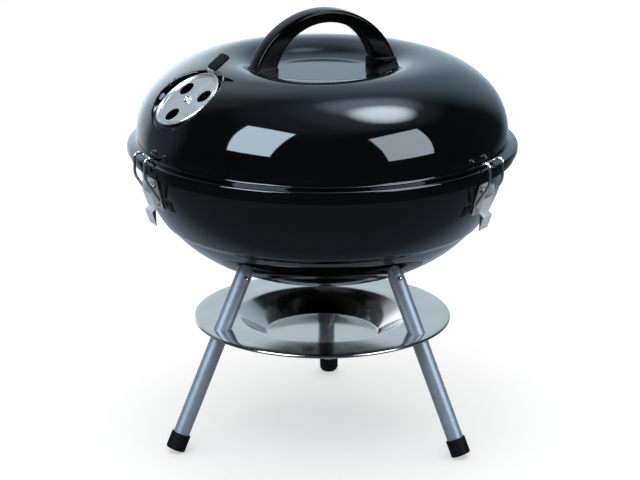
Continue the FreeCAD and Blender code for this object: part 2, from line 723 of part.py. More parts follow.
# Handle screws and washers, put in from inside the lid
washer_top = recess_floor - wall - size("screw_gap")
washer_low = washer_top - size("handle_washer_thickness")
screw_top = foot_level + size("handle_screw_grip")
screws = []
washers = []
for sign in HANDLE_SIDES.values():
    place = turned(size("handle_turn"), Placement(Vector(sign * screw_spot, 0, 0), Rotation()))
    shank = bar_shape(size("handle_screw_radius"), washer_low, screw_top, place)
    head_low = washer_low - size("handle_screw_head_height")
    head = bar_shape(size("handle_screw_head"), head_low, washer_low, place)
    screws.append(shank.fuse(head).removeSplitter())
    disc = bar_shape(size("handle_washer_radius"), washer_low, washer_top, place)
    bore = bar_shape(size("handle_screw_radius") + size("screw_gap"), head_low, screw_top, place)
    washers.append(disc.cut(bore))
nodes["handle_screws"] = group("handle_screws", screws)
nodes["handle_washers"] = group("handle_washers", washers)

# Lid damper: disc with a raised rim and a raised tab, in the vent's frame
disc_low = size("damper_lift")
disc_top = disc_low + size("damper_sheet")
rim_top = disc_top + size("damper_rim_height")
rim_start = size("damper_radius") - size("damper_rim_width")
eye = size("damper_rivet_radius") + size("turn_gap")
disc_outline = closed_polygon([
    (eye, disc_low),
    (rim_start, disc_low),
    (size("damper_radius"), rim_top - size("damper_sheet")),
    (size("damper_radius"), rim_top),
    (size("damper_radius") - size("damper_sheet"), rim_top),
    (rim_start, disc_top),
    (eye, disc_top),
])
disc_body, disc_sketch = turned_body("lid_damper_disc", disc_outline)
hold_reach(disc_sketch, 2, 1, cell("damper_radius"), size("damper_radius"))
root_height = rim_top - size("damper_sheet")
wall_share = 1 - size("damper_sheet") / size("damper_rim_height")
wall_inside = rim_start + (size("damper_rim_width") - size("damper_sheet")) * wall_share
wall_outside = math.sqrt(size("damper_radius") ** 2 - (size("tab_width") / 2) ** 2)
tab_front = (wall_inside + wall_outside + size("tab_sheet")) / 2
grip_near = size("damper_radius") + size("grip_stand")
tab_tip = grip_near + size("tab_grip")
tab_points = [
    (tab_front, root_height),
    (tab_front, size("tab_raise")),
    (tab_tip, size("tab_raise")),
]
tab_run = rounded_run(tab_points, [size("tab_bend")])
tab_sketch = new_sketch(disc_body, "damper_tab_outline")
draw(tab_sketch, sheet_outline(tab_run, size("tab_sheet")))
pad(disc_body, tab_sketch, "damper_tab", cell("tab_width"))
hole_sketch = new_sketch(disc_body, "damper_holes_outline", "XY_Plane")
for spot in hole_spots:
    draw_circle(hole_sketch, spot, "damper_hole_radius")
pocket(disc_body, hole_sketch, "damper_holes", cell("damper_radius"))
disc_body.Placement = vent_place
nodes["lid_damper_disc"] = disc_body

# Damper grip: a soft sleeve pushed over the tab
grip_body = new_body("grip_blank")
grip_sketch = new_sketch(grip_body, "grip_outline")
grip_low = size("tab_raise") + size("tab_sheet") / 2 - size("grip_height") / 2
grip_end = grip_near + size("grip_length")
grip_top = grip_low + size("grip_height")
draw(grip_sketch, closed_polygon([
    (grip_near, grip_low),
    (grip_end, grip_low),
    (grip_end, grip_top),
    (grip_near, grip_top),
]))
hold_reach(grip_sketch, 0, 1, "sizes.damper_radius + sizes.grip_stand", grip_near)
grip_block = pad(grip_body, grip_sketch, "grip_block", cell("grip_width"))
doc.recompute()
grip_fillet = grip_body.newObject("PartDesign::Fillet", "grip_rounding")
grip_edges = [
    "Edge%d" % i
    for i, edge in enumerate(grip_block.Shape.Edges, start=1)
    if abs(edge.CenterOfMass.x - grip_near) > size("grip_round")
]
grip_fillet.Base = (grip_block, grip_edges)
bind(grip_fillet, "Radius", cell("grip_round"))
slot = doc.addObject("Part::Box", "grip_slot")
slot_gap = size("screw_gap")
bind(slot, "Length", "sizes.grip_stand + sizes.tab_grip + sizes.screw_gap")
bind(slot, "Width", "sizes.tab_width + 2 * sizes.screw_gap")
bind(slot, "Height", "sizes.tab_sheet + 2 * sizes.screw_gap")
slot_side = -size("tab_width") / 2 - slot_gap
slot_corner = Vector(size("damper_radius"), slot_side, size("tab_raise") - slot_gap)
slot.Placement = Placement(slot_corner, Rotation())
grip = cut("lid_damper_grip", grip_body, [slot])
grip.Placement = vent_place
nodes["lid_damper_grip"] = grip

# Damper rivet and washer
washer_face = -wall - size("turn_gap")
washer_back = washer_face - size("damper_washer_thickness")
tail_face = washer_back - size("turn_gap")
head_face = disc_top + size("turn_gap")
dome_top = head_face + size("damper_rivet_dome")
tail_back = tail_face - size("damper_rivet_dome") / 2
rivet_outline = closed_polygon([
    (0.0, tail_back),
    (size("damper_rivet_head"), tail_back),
    (size("damper_rivet_head"), tail_face),
    (size("damper_rivet_radius"), tail_face),
    (size("damper_rivet_radius"), head_face),
    (size("damper_rivet_head"), head_face),
    (size("damper_rivet_flat"), dome_top),
    (0.0, dome_top),
])
damper_rivet, _ = turned_body("lid_damper_rivet", rivet_outline)
damper_rivet.Placement = vent_place
nodes["lid_damper_rivet"] = damper_rivet
washer_bore = size("damper_rivet_radius") + size("screw_gap")
damper_washer, _ = turned_body("lid_damper_washer", closed_polygon([
    (washer_bore, washer_back),
    (size("damper_washer_radius"), washer_back),
    (size("damper_washer_radius"), washer_face),
    (washer_bore, washer_face),
]))
damper_washer.Placement = vent_place
nodes["lid_damper_washer"] = damper_washer

# Legs, inserts and foot caps, then their bolts and rivets
tube_start = size("cap_floor")
rivet_level = leg_top - size("leg_rivet_drop")
bolts = []
leg_rivets = []
for side, azimuth in SIDES.items():
    start = turned(azimuth, along_leg(tube_start))
    tube = cylinder("tube_bar_" + side, cell("leg_radius"), "%r" % (leg_top - tube_start), start)
    bore_radius = "sizes.leg_radius - sizes.leg_wall"
    bore = cylinder("tube_bore_" + side, bore_radius, "%r" % (leg_top - tube_start), start)
    across = Rotation(UP, RIVET_TURN[side]).multiply(Rotation(UP, Vector(1, 0, 0)))
    rivet_axis = turned(azimuth, along_leg(rivet_level).multiply(Placement(ORIGIN, across)))
    rivet_bore = "sizes.leg_rivet_radius + sizes.screw_gap"
    rivet_hole = cylinder("leg_rivet_hole_" + side, rivet_bore, cell("leg_radius") + " * 2", rivet_axis)
    nodes["leg_" + side] = cut("leg_" + side, tube, [bore, rivet_hole])
    insert_start = turned(azimuth, along_leg(leg_top - size("insert_length")))
    insert_radius = "sizes.leg_radius - sizes.leg_wall - sizes.screw_gap"
    insert = cylinder("insert_bar_" + side, insert_radius, cell("insert_length"), insert_start)
    bolt_bore = "sizes.leg_bolt_radius + sizes.screw_gap"
    insert_bore = cylinder("insert_bore_" + side, bolt_bore, cell("insert_length") + " * 2", insert_start)
    name = "leg_insert_" + side
    nodes[name] = cut(name, insert, [insert_bore, rivet_hole])
    cap_start = turned(azimuth, along_leg(0.0))
    cap = cylinder("cap_bar_" + side, "sizes.leg_radius + sizes.cap_wall", cell("cap_length"), cap_start)
    cap_bore = "sizes.leg_radius + sizes.screw_gap"
    cap_hole = cylinder("cap_hole_" + side, cap_bore, cell("cap_length"), start)
    ground = doc.addObject("Part::Box", "ground_" + side)
    bind(ground, "Length", "4 * sizes.foot_circle")
    bind(ground, "Width", "4 * sizes.foot_circle")
    bind(ground, "Height", "4 * sizes.cap_length")
    corner = -2 * size("foot_circle")
    ground.Placement = Placement(Vector(corner, corner, -4 * size("cap_length")), Rotation())
    nodes["foot_cap_" + side] = cut("foot_cap_" + side, cap, [cap_hole, ground])
    bolt_axis = turned(azimuth, leg_place)
    shank = bar_shape(size("leg_bolt_radius"), leg_top - size("leg_bolt_grip"), bolt_seat, bolt_axis)
    head_top = bolt_seat + size("leg_bolt_head_height")
    head = bar_shape(size("leg_bolt_head"), bolt_seat, head_top, bolt_axis)
    bolts.append(shank.fuse(head).removeSplitter())
    head_seat = size("leg_radius") + size("screw_gap")
    inner_end = head_seat - size("leg_rivet_grip")
    stem = bar_shape(size("leg_rivet_radius"), inner_end, head_seat, rivet_axis)
    dome = bar_shape(size("leg_rivet_head"), head_seat, head_seat + size("leg_rivet_dome"), rivet_axis)
    leg_rivets.append(stem.fuse(dome).removeSplitter())
nodes["leg_bolts"] = group("leg_bolts", bolts)
nodes["leg_rivets"] = group("leg_rivets", leg_rivets)

# Ash catcher: dish with a wide flat flange and a rolled edge, held by the splayed legs
leg_rise = (size("plate_height") - foot_point.z) / cosd(size("leg_splay"))
leg_pass = along_leg(leg_rise).Base.x
plate_radius = leg_pass + size("plate_margin")
dish_radius = leg_pass - size("dish_margin")
dish_floor = size("plate_height") - size("dish_depth")
bead = size("plate_bead")
flange_end = plate_radius - 2 * bead
plate_run = rounded_run(
    [
        (0.0, dish_floor),
        (dish_radius - size("dish_slope"), dish_floor),
        (dish_radius, size("plate_height")),
        (flange_end, size("plate_height")),
    ],
    [size("dish_round"), size("dish_round")],
)
bead_center = (plate_radius - bead, size("plate_height") + size("plate_sheet") - bead)
bead_bottom = polar(bead_center, bead, 270.0)
bead_arc = arc(bead_center, bead, -90.0, 90.0)
plate_beside = [backwards(part) for part in reversed(offset_run(plate_run, size("plate_sheet")))]
plate_outline = plate_run + [
    line((flange_end, size("plate_height")), (flange_end, bead_bottom[1])),
    line((flange_end, bead_bottom[1]), bead_bottom),
    bead_arc,
    line(polar(bead_center, bead, 90.0), first_point(plate_beside[0])),
] + plate_beside + [line(last_point(plate_beside[-1]), (0.0, dish_floor))]
plate_body, plate_sketch = turned_body("plate_blank", plate_outline)
hold_radius(plate_sketch, plate_outline.index(bead_arc), cell("plate_bead"), bead)
leg_holes = []
for side, azimuth in SIDES.items():
    radius = "sizes.leg_radius + sizes.plate_leg_gap"
    leg_holes.append(cylinder("plate_hole_" + side, radius, "%r" % leg_top, turned(azimuth, leg_place)))
nodes["ash_catcher"] = cut("ash_catcher", plate_body, leg_holes)


# Grates: a rim wire, parallel rods and two cross rods, welded together
wire = size("grate_wire")


def grate(name, ring_radius, height, pitch_alias):
    """Rim and bars of a grate: the rods are let into the rim and the cross rods, each a solid of its own."""
    ring = doc.addObject("Part::Torus", name + "_ring")
    bind(ring, "Radius2", cell("grate_wire"))
    ring.Radius1 = ring_radius
    ring.Placement = Placement(Vector(0, 0, height), Rotation())
    rods = []
    rod_radius = cell("rod_radius")
    pitch = size(pitch_alias)
    count = int((ring_radius - pitch / 2) / pitch)
    for i in range(-count, count + 1):
        half = math.sqrt(ring_radius ** 2 - (i * pitch) ** 2)
        place = Placement(Vector(i * pitch, -half, height), Rotation(UP, Vector(0, 1, 0)))
        rods.append(cylinder("%s_rod_%d" % (name, i + count), rod_radius, "%r" % (2 * half), place))
    rod_row = fuse(name + "_rods", rods)
    nodes[name + "_rim"] = cut(name + "_rim", ring, [rod_row])
    bars = []
    lower = height - 2 * size("rod_radius") + size("rod_bite")
    cross_end = ring_radius - 2 * wire
    for i, sign in enumerate((-1.0, 1.0)):
        away = sign * ring_radius * size("cross_share")
        half = math.sqrt(cross_end ** 2 - away ** 2)
        place = Placement(Vector(-half, away, lower), Rotation(UP, Vector(1, 0, 0)))
        cross = cylinder("%s_cross_%d" % (name, i), rod_radius, "%r" % (2 * half), place)
        bars.append(cut("%s_bar_%d" % (name, i), cross, [rod_row]))
    nodes[name] = doc.addObject("Part::Compound", name)
    nodes[name].Links = bars + rods


upper_rivet = latch_place.multVec(Vector(0, 0, size("latch_rivet_upper")))
cooking_height = upper_rivet.z + size("latch_rivet_head") + wire + 2 * gap
cooking_radius = bowl_outside(cooking_height - wire) - wall - 2 * gap - wire
grate("cooking_grate", cooking_radius, cooking_height, "cooking_pitch")
charcoal_height = bowl_floor + size("charcoal_raise")
charcoal_radius = ring_inside(charcoal_height, wire + gap)
grate("charcoal_grate", charcoal_radius, charcoal_height, "charcoal_pitch")

# Latch bracket: a flat plate on the bowl with two ears for the pin
plate_out = gap + size("bracket_sheet")
pin_spot = (size("latch_pin_out"), size("latch_pin_up"))
ear = size("ear_radius")
tip = size("bracket_half")
ear_outline = [
    line((gap, -tip), (plate_out, -tip)),
    line((plate_out, -tip), (plate_out, 0.0)),
    line((plate_out, 0.0), (pin_spot[0] + ear, pin_spot[1])),
    arc(pin_spot, ear, 0.0, 90.0),
    line((pin_spot[0], pin_spot[1] + ear), (plate_out, tip)),
    line((plate_out, tip), (gap, tip)),
    line((gap, tip), (gap, -tip)),
]
between_ears = closed_polygon([
    (plate_out, -tip),
    (pin_spot[0] + 2 * ear, -tip),
    (pin_spot[0] + 2 * ear, tip),
    (plate_out, tip),
])

# Latch lever: cheeks on the pin, a front plate and a stepped tail
pin_out = latch_place.multVec(Vector(pin_spot[0], 0, pin_spot[1]))
pin = (pin_out.x, pin_out.z)
eye_spot = polar(pin, size("lever_arm"), 270.0 - size("lever_arm_lean"))
boss = size("lever_boss")
front_turn = 270.0 - size("lever_lean")
front_top = (pin[0] + size("lever_stand"), pin[1] - size("lever_lip"))
front_low = polar(front_top, size("lever_face"), front_turn)
cheek_outline = [
    line(polar(pin, boss, 0.0), front_top),
    line(front_top, front_low),
    line(front_low, polar(eye_spot, boss, 270.0)),
    arc(eye_spot, boss, 270.0, 180.0),
    line(polar(eye_spot, boss, 180.0), polar(pin, boss, 180.0)),
    arc(pin, boss, 180.0, 0.0),
]
sheet_back = polar((0, 0), size("lever_sheet"), front_turn - 90.0)
back_top = (front_top[0] + sheet_back[0], front_top[1] + sheet_back[1])
back_low = (front_low[0] + sheet_back[0], front_low[1] + sheet_back[1])
beyond = polar(back_low, boss, front_turn)
channel_reach = size("lever_arm") + size("lever_face")
above = polar(back_top, -channel_reach, front_turn)
inside = polar(above, -channel_reach, front_turn + 90.0)
channel_outline = closed_polygon([beyond, above, inside, (inside[0], beyond[1])])
tail_out = polar(front_low, size("tail_step"), front_turn + 90.0 - size("lever_lean"))
tail_tip = polar(tail_out, size("tail_length"), front_turn)
tail_run = rounded_run([front_top, front_low, tail_out, tail_tip], [size("tail_bend"), size("tail_bend")])

# Bail: one wire from eye to eye, over the lid's flange and back
bail_out = lid_rim + size("bail_clear") + size("bail_wire")
bail_side = size("lever_width") / 2 + size("bail_room") + size("bail_wire")
hook_center = (bail_out - size("bail_hook"), edge_center[1] + size("bail_hook_raise"))
hook_end = polar(hook_center, size("bail_hook"), size("bail_hook_turn"))
bail_shoulder = (bail_out, eye_spot[1] + size("bail_shoulder"))
eye_bend = size("bail_room") + size("bail_wire")


def in_plane(point, across):
    """Point of the latch's side view, moved across its width."""
    return Vector(point[0], across, point[1])


def corner_arc(before, corner, after, radius):
    """Rounded corner of a wire: where it starts, an inner point and where it ends."""
    into = (before - corner).normalize()
    out = (after - corner).normalize()
    half_angle = into.getAngle(out) / 2
    reach = radius / math.tan(half_angle)
    middle = (into + out).normalize()
    center = corner + middle * (radius / math.sin(half_angle))
    return corner + into * reach, center - middle * radius, corner + out * reach


def bail_end(sign):
    """Where the wire is cut off, flush inside one of the lever's cheeks."""
    return in_plane(eye_spot, sign * (size("lever_width") / 2 - size("lever_sheet")))


def bail_half(sign):
    """Edges from the middle of the hook's bar down to one eye."""
    across = sign * bail_side
    inner = bail_end(sign)
    eye_corner = in_plane(eye_spot, across)
    shoulder_corner = in_plane(bail_shoulder, across)
    hook_start = in_plane((bail_out, hook_center[1]), across)
    hook_over = in_plane(polar(hook_center, size("bail_hook"), size("bail_hook_turn") / 2), across)
    tip = in_plane(hook_end, across)
    tangent_turn = size("bail_hook_turn") + 90.0
    tip_corner = tip + in_plane(polar((0, 0), size("bail_corner"), tangent_turn), 0.0)
    bar_middle = Vector(tip_corner.x, 0.0, tip_corner.z)
    a = corner_arc(inner, eye_corner, shoulder_corner, eye_bend)
    b = corner_arc(eye_corner, shoulder_corner, hook_start, size("bail_shoulder_round"))
    c = corner_arc(tip, tip_corner, bar_middle, size("bail_corner"))
    down = [
        Part.LineSegment(bar_middle, c[2]),
        Part.Arc(c[2], c[1], c[0]),
        Part.Arc(tip, hook_over, hook_start),
        Part.LineSegment(hook_start, b[2]),
        Part.Arc(b[2], b[1], b[0]),
        Part.LineSegment(b[0], a[2]),
        Part.Arc(a[2], a[1], a[0]),
        Part.LineSegment(a[0], inner),
    ]
    return [curve.toShape() for curve in down]


bail_path = doc.addObject("Part::Feature", "bail_path")
bail_path.Shape = Part.Wire(Part.__sortEdges__(bail_half(1.0) + bail_half(-1.0)))
bail_section = doc.addObject("Part::Circle", "bail_section")
bind(bail_section, "Radius", cell("bail_wire"))
bail_section.Placement = Placement(bail_end(-1.0), Rotation(UP, Vector(0, 1, 0)))


def latch_bracket(side, azimuth):
    name = "latch_bracket_" + side
    body = new_body(name)
    outline = new_sketch(body, name + "_outline")
    draw(outline, ear_outline)
    pad(body, outline, name + "_block", cell("bracket_width"))
    middle = new_sketch(body, name + "_middle")
    draw(middle, between_ears)
    pocket(body, middle, name + "_between", "sizes.bracket_width - 2 * sizes.bracket_sheet")
    hole = new_sketch(body, name + "_pin_circle")
    index = hole.addGeometry(Part.Circle(Vector(*pin_spot), UP, size("latch_pin_radius")), False)
    room = size("latch_pin_radius") + size("turn_gap")
    hold_radius(hole, index, "sizes.latch_pin_radius + sizes.turn_gap", room)
    pocket(body, hole, name + "_pin_hole", "2 * sizes.bracket_width")
    rivets = new_sketch(body, name + "_rivet_circles", "YZ_Plane")
    for height in rivet_heights:
        index = rivets.addGeometry(Part.Circle(Vector(0, height), UP, size("latch_rivet_radius")), False)
        room = size("latch_rivet_radius") + size("screw_gap")
        hold_radius(rivets, index, "sizes.latch_rivet_radius + sizes.screw_gap", room)
    pocket(body, rivets, name + "_rivet_holes", "2 * sizes.bracket_width")
    body.Placement = turned(azimuth, latch_place)
    return body


def latch_lever(side, azimuth):
    name = "latch_lever_" + side
    body = new_body(name)
    cheeks = new_sketch(body, name + "_cheeks")
    draw(cheeks, cheek_outline)
    pad(body, cheeks, name + "_block", cell("lever_width"))
    channel = new_sketch(body, name + "_channel_outline")
    draw(channel, channel_outline)
    pocket(body, channel, name + "_channel", "sizes.lever_width - 2 * sizes.lever_sheet")
    tail = new_sketch(body, name + "_tail_outline")
    draw(tail, sheet_outline(tail_run, -size("lever_sheet")))
    pad(body, tail, name + "_tail", cell("tail_width"))
    holes = new_sketch(body, name + "_holes_outline")
    for spot, alias in ((pin, "latch_pin_radius"), (eye_spot, "bail_wire")):
        index = holes.addGeometry(Part.Circle(Vector(*spot), UP, size(alias)), False)
        hold_radius(holes, index, cell(alias) + " + sizes.turn_gap", size(alias) + size("turn_gap"))
    pocket(body, holes, name + "_holes", "2 * sizes.lever_width")
    body.Placement = turned(azimuth)
    return body


def latch_bail(side, azimuth):
    name = "latch_bail_" + side
    sweep = doc.addObject("Part::Sweep", name)
    sweep.Label = name
    sweep.Sections = [bail_section]
    sweep.Spine = (bail_path, ["Edge%d" % i for i in range(1, len(bail_path.Shape.Edges) + 1)])
    sweep.Solid = True
    sweep.Frenet = False
    sweep.Placement = turned(azimuth)
    return sweep


def latch_pin(side, azimuth):
    name = "latch_pin_" + side
    half_length = size("lever_width") / 2 + gap
    place = Placement(in_plane(pin, -half_length), Rotation(UP, Vector(0, 1, 0)))
    length = "sizes.lever_width + 2 * sizes.seat_gap"
    bar = cylinder(name, cell("latch_pin_radius"), length, turned(azimuth, place))
    bar.Label = name
    return bar


latch_rivets = []
for side, azimuth in SIDES.items():
    nodes["latch_bracket_" + side] = latch_bracket(side, azimuth)
    nodes["latch_lever_" + side] = latch_lever(side, azimuth)
    nodes["latch_bail_" + side] = latch_bail(side, azimuth)
    nodes["latch_pin_" + side] = latch_pin(side, azimuth)
    for height in rivet_heights:
        place = rivet_place(azimuth, height)
        far_edge = abs(height) + size("latch_rivet_head")
        inner = -wall - bowl_hollow(far_edge) - size("screw_gap")
        shank = bar_shape(size("latch_rivet_radius"), inner, plate_out, place)
        outer_head = bar_shape(
            size("latch_rivet_head"), plate_out, plate_out + size("latch_rivet_dome"), place
        )
        inner_head = bar_shape(size("latch_rivet_head"), inner - size("latch_rivet_dome"), inner, place)
        latch_rivets.append(shank.fuse([outer_head, inner_head]).removeSplitter())
nodes["latch_rivets"] = group("latch_rivets", latch_rivets)

# Finish: everything must be sound before it is written
doc.recompute()
for thing in doc.Objects:
    if "Invalid" in thing.State or "Error" in thing.State:
        raise RuntimeError("%s did not build: %s" % (thing.Label, thing.State))
for name, thing in nodes.items():
    if thing.Shape.isNull() or not thing.Shape.isValid() or not thing.Shape.Solids:
        raise RuntimeError("%s has no sound solid" % name)
os.makedirs("parts", exist_ok=True)
for name, thing in nodes.items():
    thing.Shape.exportStep("parts/%s.step" % name)
    box = thing.Shape.BoundBox
    print("%-22s %d solids %9.0f mm3  z %.1f to %.1f" % (
        name, len(thing.Shape.Solids), thing.Shape.Volume, box.ZMin, box.ZMax))
print("latch pin r %.4f z %.4f, bail eye r %.4f z %.4f" % (pin + eye_spot))
print("lid rim r %.3f, ash catcher r %.3f, dish mouth r %.3f" % (lid_rim, plate_radius, dish_radius))
axis_out = vent_place.Rotation.multVec(UP)
print("vent seat x %.4f y %.4f z %.4f, axis %.8f %.8f %.8f" % (*vent_place.Base, *axis_out))
for face in nodes["foot_cap_rear"].Shape.Faces:
    if face.BoundBox.ZMax < gap:
        print("foot flat r %.4f" % face.CenterOfMass.y)
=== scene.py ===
# %% [markdown]
# A small kettle grill, dressed in Blender
#
# The grill was first drawn as solids, so its size, its joints and its fits are settled. This lesson loads
# those solids as a fixed frame and models smooth, rounded pieces over them: a pressed lid and bowl, a
# moulded handle, a turning vent, bent wire latches, tube legs and a polished ash catcher.
# Lengths of the grill are in millimetres, as a maker would write them, and MM turns them into metres. The
# studio around it is laid out in metres. Angles are in degrees.

import math

import bmesh
import bpy
from bmesh.types import BMEdge, BMVert
from mathutils import Matrix, Vector


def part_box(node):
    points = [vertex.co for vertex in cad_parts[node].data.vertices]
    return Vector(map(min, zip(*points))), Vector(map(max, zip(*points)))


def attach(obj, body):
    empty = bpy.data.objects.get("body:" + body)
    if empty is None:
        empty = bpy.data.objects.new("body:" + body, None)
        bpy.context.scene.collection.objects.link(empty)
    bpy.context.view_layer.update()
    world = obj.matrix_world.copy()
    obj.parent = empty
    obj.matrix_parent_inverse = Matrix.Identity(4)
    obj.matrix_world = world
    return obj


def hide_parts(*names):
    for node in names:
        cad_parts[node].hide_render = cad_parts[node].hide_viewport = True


MM = 0.001
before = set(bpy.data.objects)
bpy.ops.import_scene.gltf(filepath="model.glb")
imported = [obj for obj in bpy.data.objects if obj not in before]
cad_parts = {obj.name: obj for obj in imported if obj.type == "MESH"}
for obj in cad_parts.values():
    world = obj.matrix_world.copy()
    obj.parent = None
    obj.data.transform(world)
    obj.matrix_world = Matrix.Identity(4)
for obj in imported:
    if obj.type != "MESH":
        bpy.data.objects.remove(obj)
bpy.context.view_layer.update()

# %% [markdown]
# Most of a kettle is round, so most pieces start as half a section: a line drawn in the XZ plane that is
# then spun about an axis. An outline could be a typed list of points, but a spun vertex leaves a true arc
# behind it, so the outline is drawn the way a drafter does it, with straight runs and arcs about a centre.

# %% Outlines and turning
MERGE = 1e-6


def only(geom, kind):
    """The vertices or the edges among an operator's results."""
    return [part for part in geom if isinstance(part, kind)]


class Outline:
    """A line drawn in the XZ plane from a first point on."""

    def __init__(self, x, z):
        self.bm = bmesh.new()
        self.first = self.bm.verts.new((x * MM, 0, z * MM))
        self.tip = self.first

    def to(self, x, z, steps=1):
        """Straight run to a point."""
        start = self.tip.co.copy()
        end = Vector((x * MM, 0, z * MM))
        for i in range(1, steps + 1):
            self.tip = bmesh.ops.extrude_vert_indiv(self.bm, verts=[self.tip])["verts"][0]
            self.tip.co = start.lerp(end, i / steps)
        return self

    def around(self, x, z, turn, steps):
        """Arc about a centre, anticlockwise for a positive turn."""
        made = bmesh.ops.spin(
            self.bm, geom=[self.tip], cent=(x * MM, 0, z * MM), axis=(0, -1, 0),
            angle=math.radians(turn), steps=steps,
        )
        self.tip = only(made["geom_last"], BMVert)[0]
        return self

    def closed(self):
        """Join the last point to the first."""
        bmesh.ops.contextual_create(self.bm, geom=[self.tip, self.first])
        return self

    def lathe(self, segments):
        """Spin the outline about the Z axis into a closed skin."""
        bm = self.bm
        bmesh.ops.spin(
            bm, geom=bm.verts[:] + bm.edges[:], cent=(0, 0, 0), axis=(0, 0, 1),
            angle=math.tau, steps=segments, use_merge=True,
        )
        bmesh.ops.remove_doubles(bm, verts=bm.verts, dist=MERGE)
        bmesh.ops.recalc_face_normals(bm, faces=bm.faces)
        return bm

    def plate(self, low, high):
        """Fill the closed outline and give it a width across Y."""
        bm = self.closed().bm
        face = bmesh.ops.contextual_create(bm, geom=bm.edges[:])["faces"][0]
        bmesh.ops.translate(bm, verts=bm.verts, vec=(0, low * MM, 0))
        grown = bmesh.ops.extrude_face_region(bm, geom=[face], use_keep_orig=True)["geom"]
        bmesh.ops.translate(bm, verts=only(grown, BMVert), vec=(0, (high - low) * MM, 0))
        bmesh.ops.recalc_face_normals(bm, faces=bm.faces)
        return bm


print("outlines ready")

# %% [markdown]
# Holes go through curved sheets in many places. They could be drawn as loops of points, but a Boolean
# modifier with a round bar as its cutter leaves a true edge on any curve, so holes off the axis are cut.
# A modifier works on an object, so two small helpers turn a mesh into an object and back.

# %% Cutting and placing


def joined(*parts):
    """Several meshes as one."""
    whole = bmesh.new()
    for part in parts:
        mesh = bpy.data.meshes.new("part")
        part.to_mesh(mesh)
        part.free()
        whole.from_mesh(mesh)
        bpy.data.meshes.remove(mesh)
    return whole


def as_object(name, bm):
    """A mesh as an object of the scene."""
    mesh = bpy.data.meshes.new(name)
    bm.to_mesh(mesh)
    bm.free()
    thing = bpy.data.objects.new(name, mesh)
    bpy.context.collection.objects.link(thing)
    return thing


def thrown_out(thing):
    """Remove a helper object and its mesh."""
    mesh = thing.data
    bpy.data.objects.remove(thing)
    bpy.data.meshes.remove(mesh)


def taken_back(thing):
    """The finished mesh of a helper object as a bmesh; the helper goes."""
    result = bmesh.new()
    bpy.context.view_layer.update()
    result.from_object(thing, bpy.context.evaluated_depsgraph_get())
    thrown_out(thing)
    return result


def carve(bm, *tools):
    """Take tools away from a closed mesh."""
    base = as_object("carved", bm)
    tool = as_object("cutter", joined(*tools))
    cut = base.modifiers.new("cut", "BOOLEAN")
    cut.operation = "DIFFERENCE"
    cut.solver = "EXACT"
    cut.object = tool
    result = taken_back(base)
    thrown_out(tool)
    return result


def placed(bm, place):
    """A mesh moved from the origin to a place."""
    bm.transform(place)
    return bm


def bar(radius, low, high, place, segments=48):
    """A round bar along the Z of a place."""
    line = Outline(0, low).to(radius, low).to(radius, high).to(0, high)
    return placed(line.lathe(segments), place)


def spot(x, y, z):
    """A place moved from the origin."""
    return Matrix.Translation(Vector((x, y, z)) * MM)


def turned(angle, axis):
    """A place turned about an axis through the origin."""
    return Matrix.Rotation(math.radians(angle), 4, axis)


print("cutters ready")

# %% [markdown]
# Every piece ends the same way: it becomes an object, its faces are shaded smooth up to a fold angle, it
# takes its finish, it is told which body it rides on, and the solids that it stands for are hidden. Legs and
# latches come in threes, a third of a turn apart.

# %% Finished pieces
SIDES = {"rear": 90.0, "left": 210.0, "right": 330.0}


def piece(name, bm, body, slot, finish, *nodes, sharp=32):
    """Finish a mesh as a piece of the grill that stands for nodes of the frame."""
    thing = as_object(name, bm)
    thing.data.shade_smooth()
    thing.data.set_sharp_from_angle(angle=math.radians(sharp))
    thing.data.materials.append(finish.material)
    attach(thing, body)
    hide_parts(*nodes)
    print("%-22s %6d faces" % (name, len(thing.data.polygons)))


print("sides:", SIDES)

# %% [markdown]
# A finish is a Principled shader with detail from noise: a little colour drift, roughness that wanders and
# a fine bump. Values that are the same all over are typed on the shader's own sockets. The patterns read
# Object coordinates, in metres, so a noise scale of 400 gives waves of 2 to 3 mm.

# %% What a finish is made of


def linked(tree, kind, *in_order, operation=None, **by_name):
    """A node with values on its inputs, in order or by name; a socket as a value is linked."""
    node = tree.nodes.new(kind)
    if operation:
        node.operation = operation
    values = list(enumerate(in_order)) + [(key.replace("_", " "), value) for key, value in by_name.items()]
    for key, value in values:
        if isinstance(value, bpy.types.NodeSocket):
            tree.links.new(value, node.inputs[key])
        else:
            node.inputs[key].default_value = value
    return node


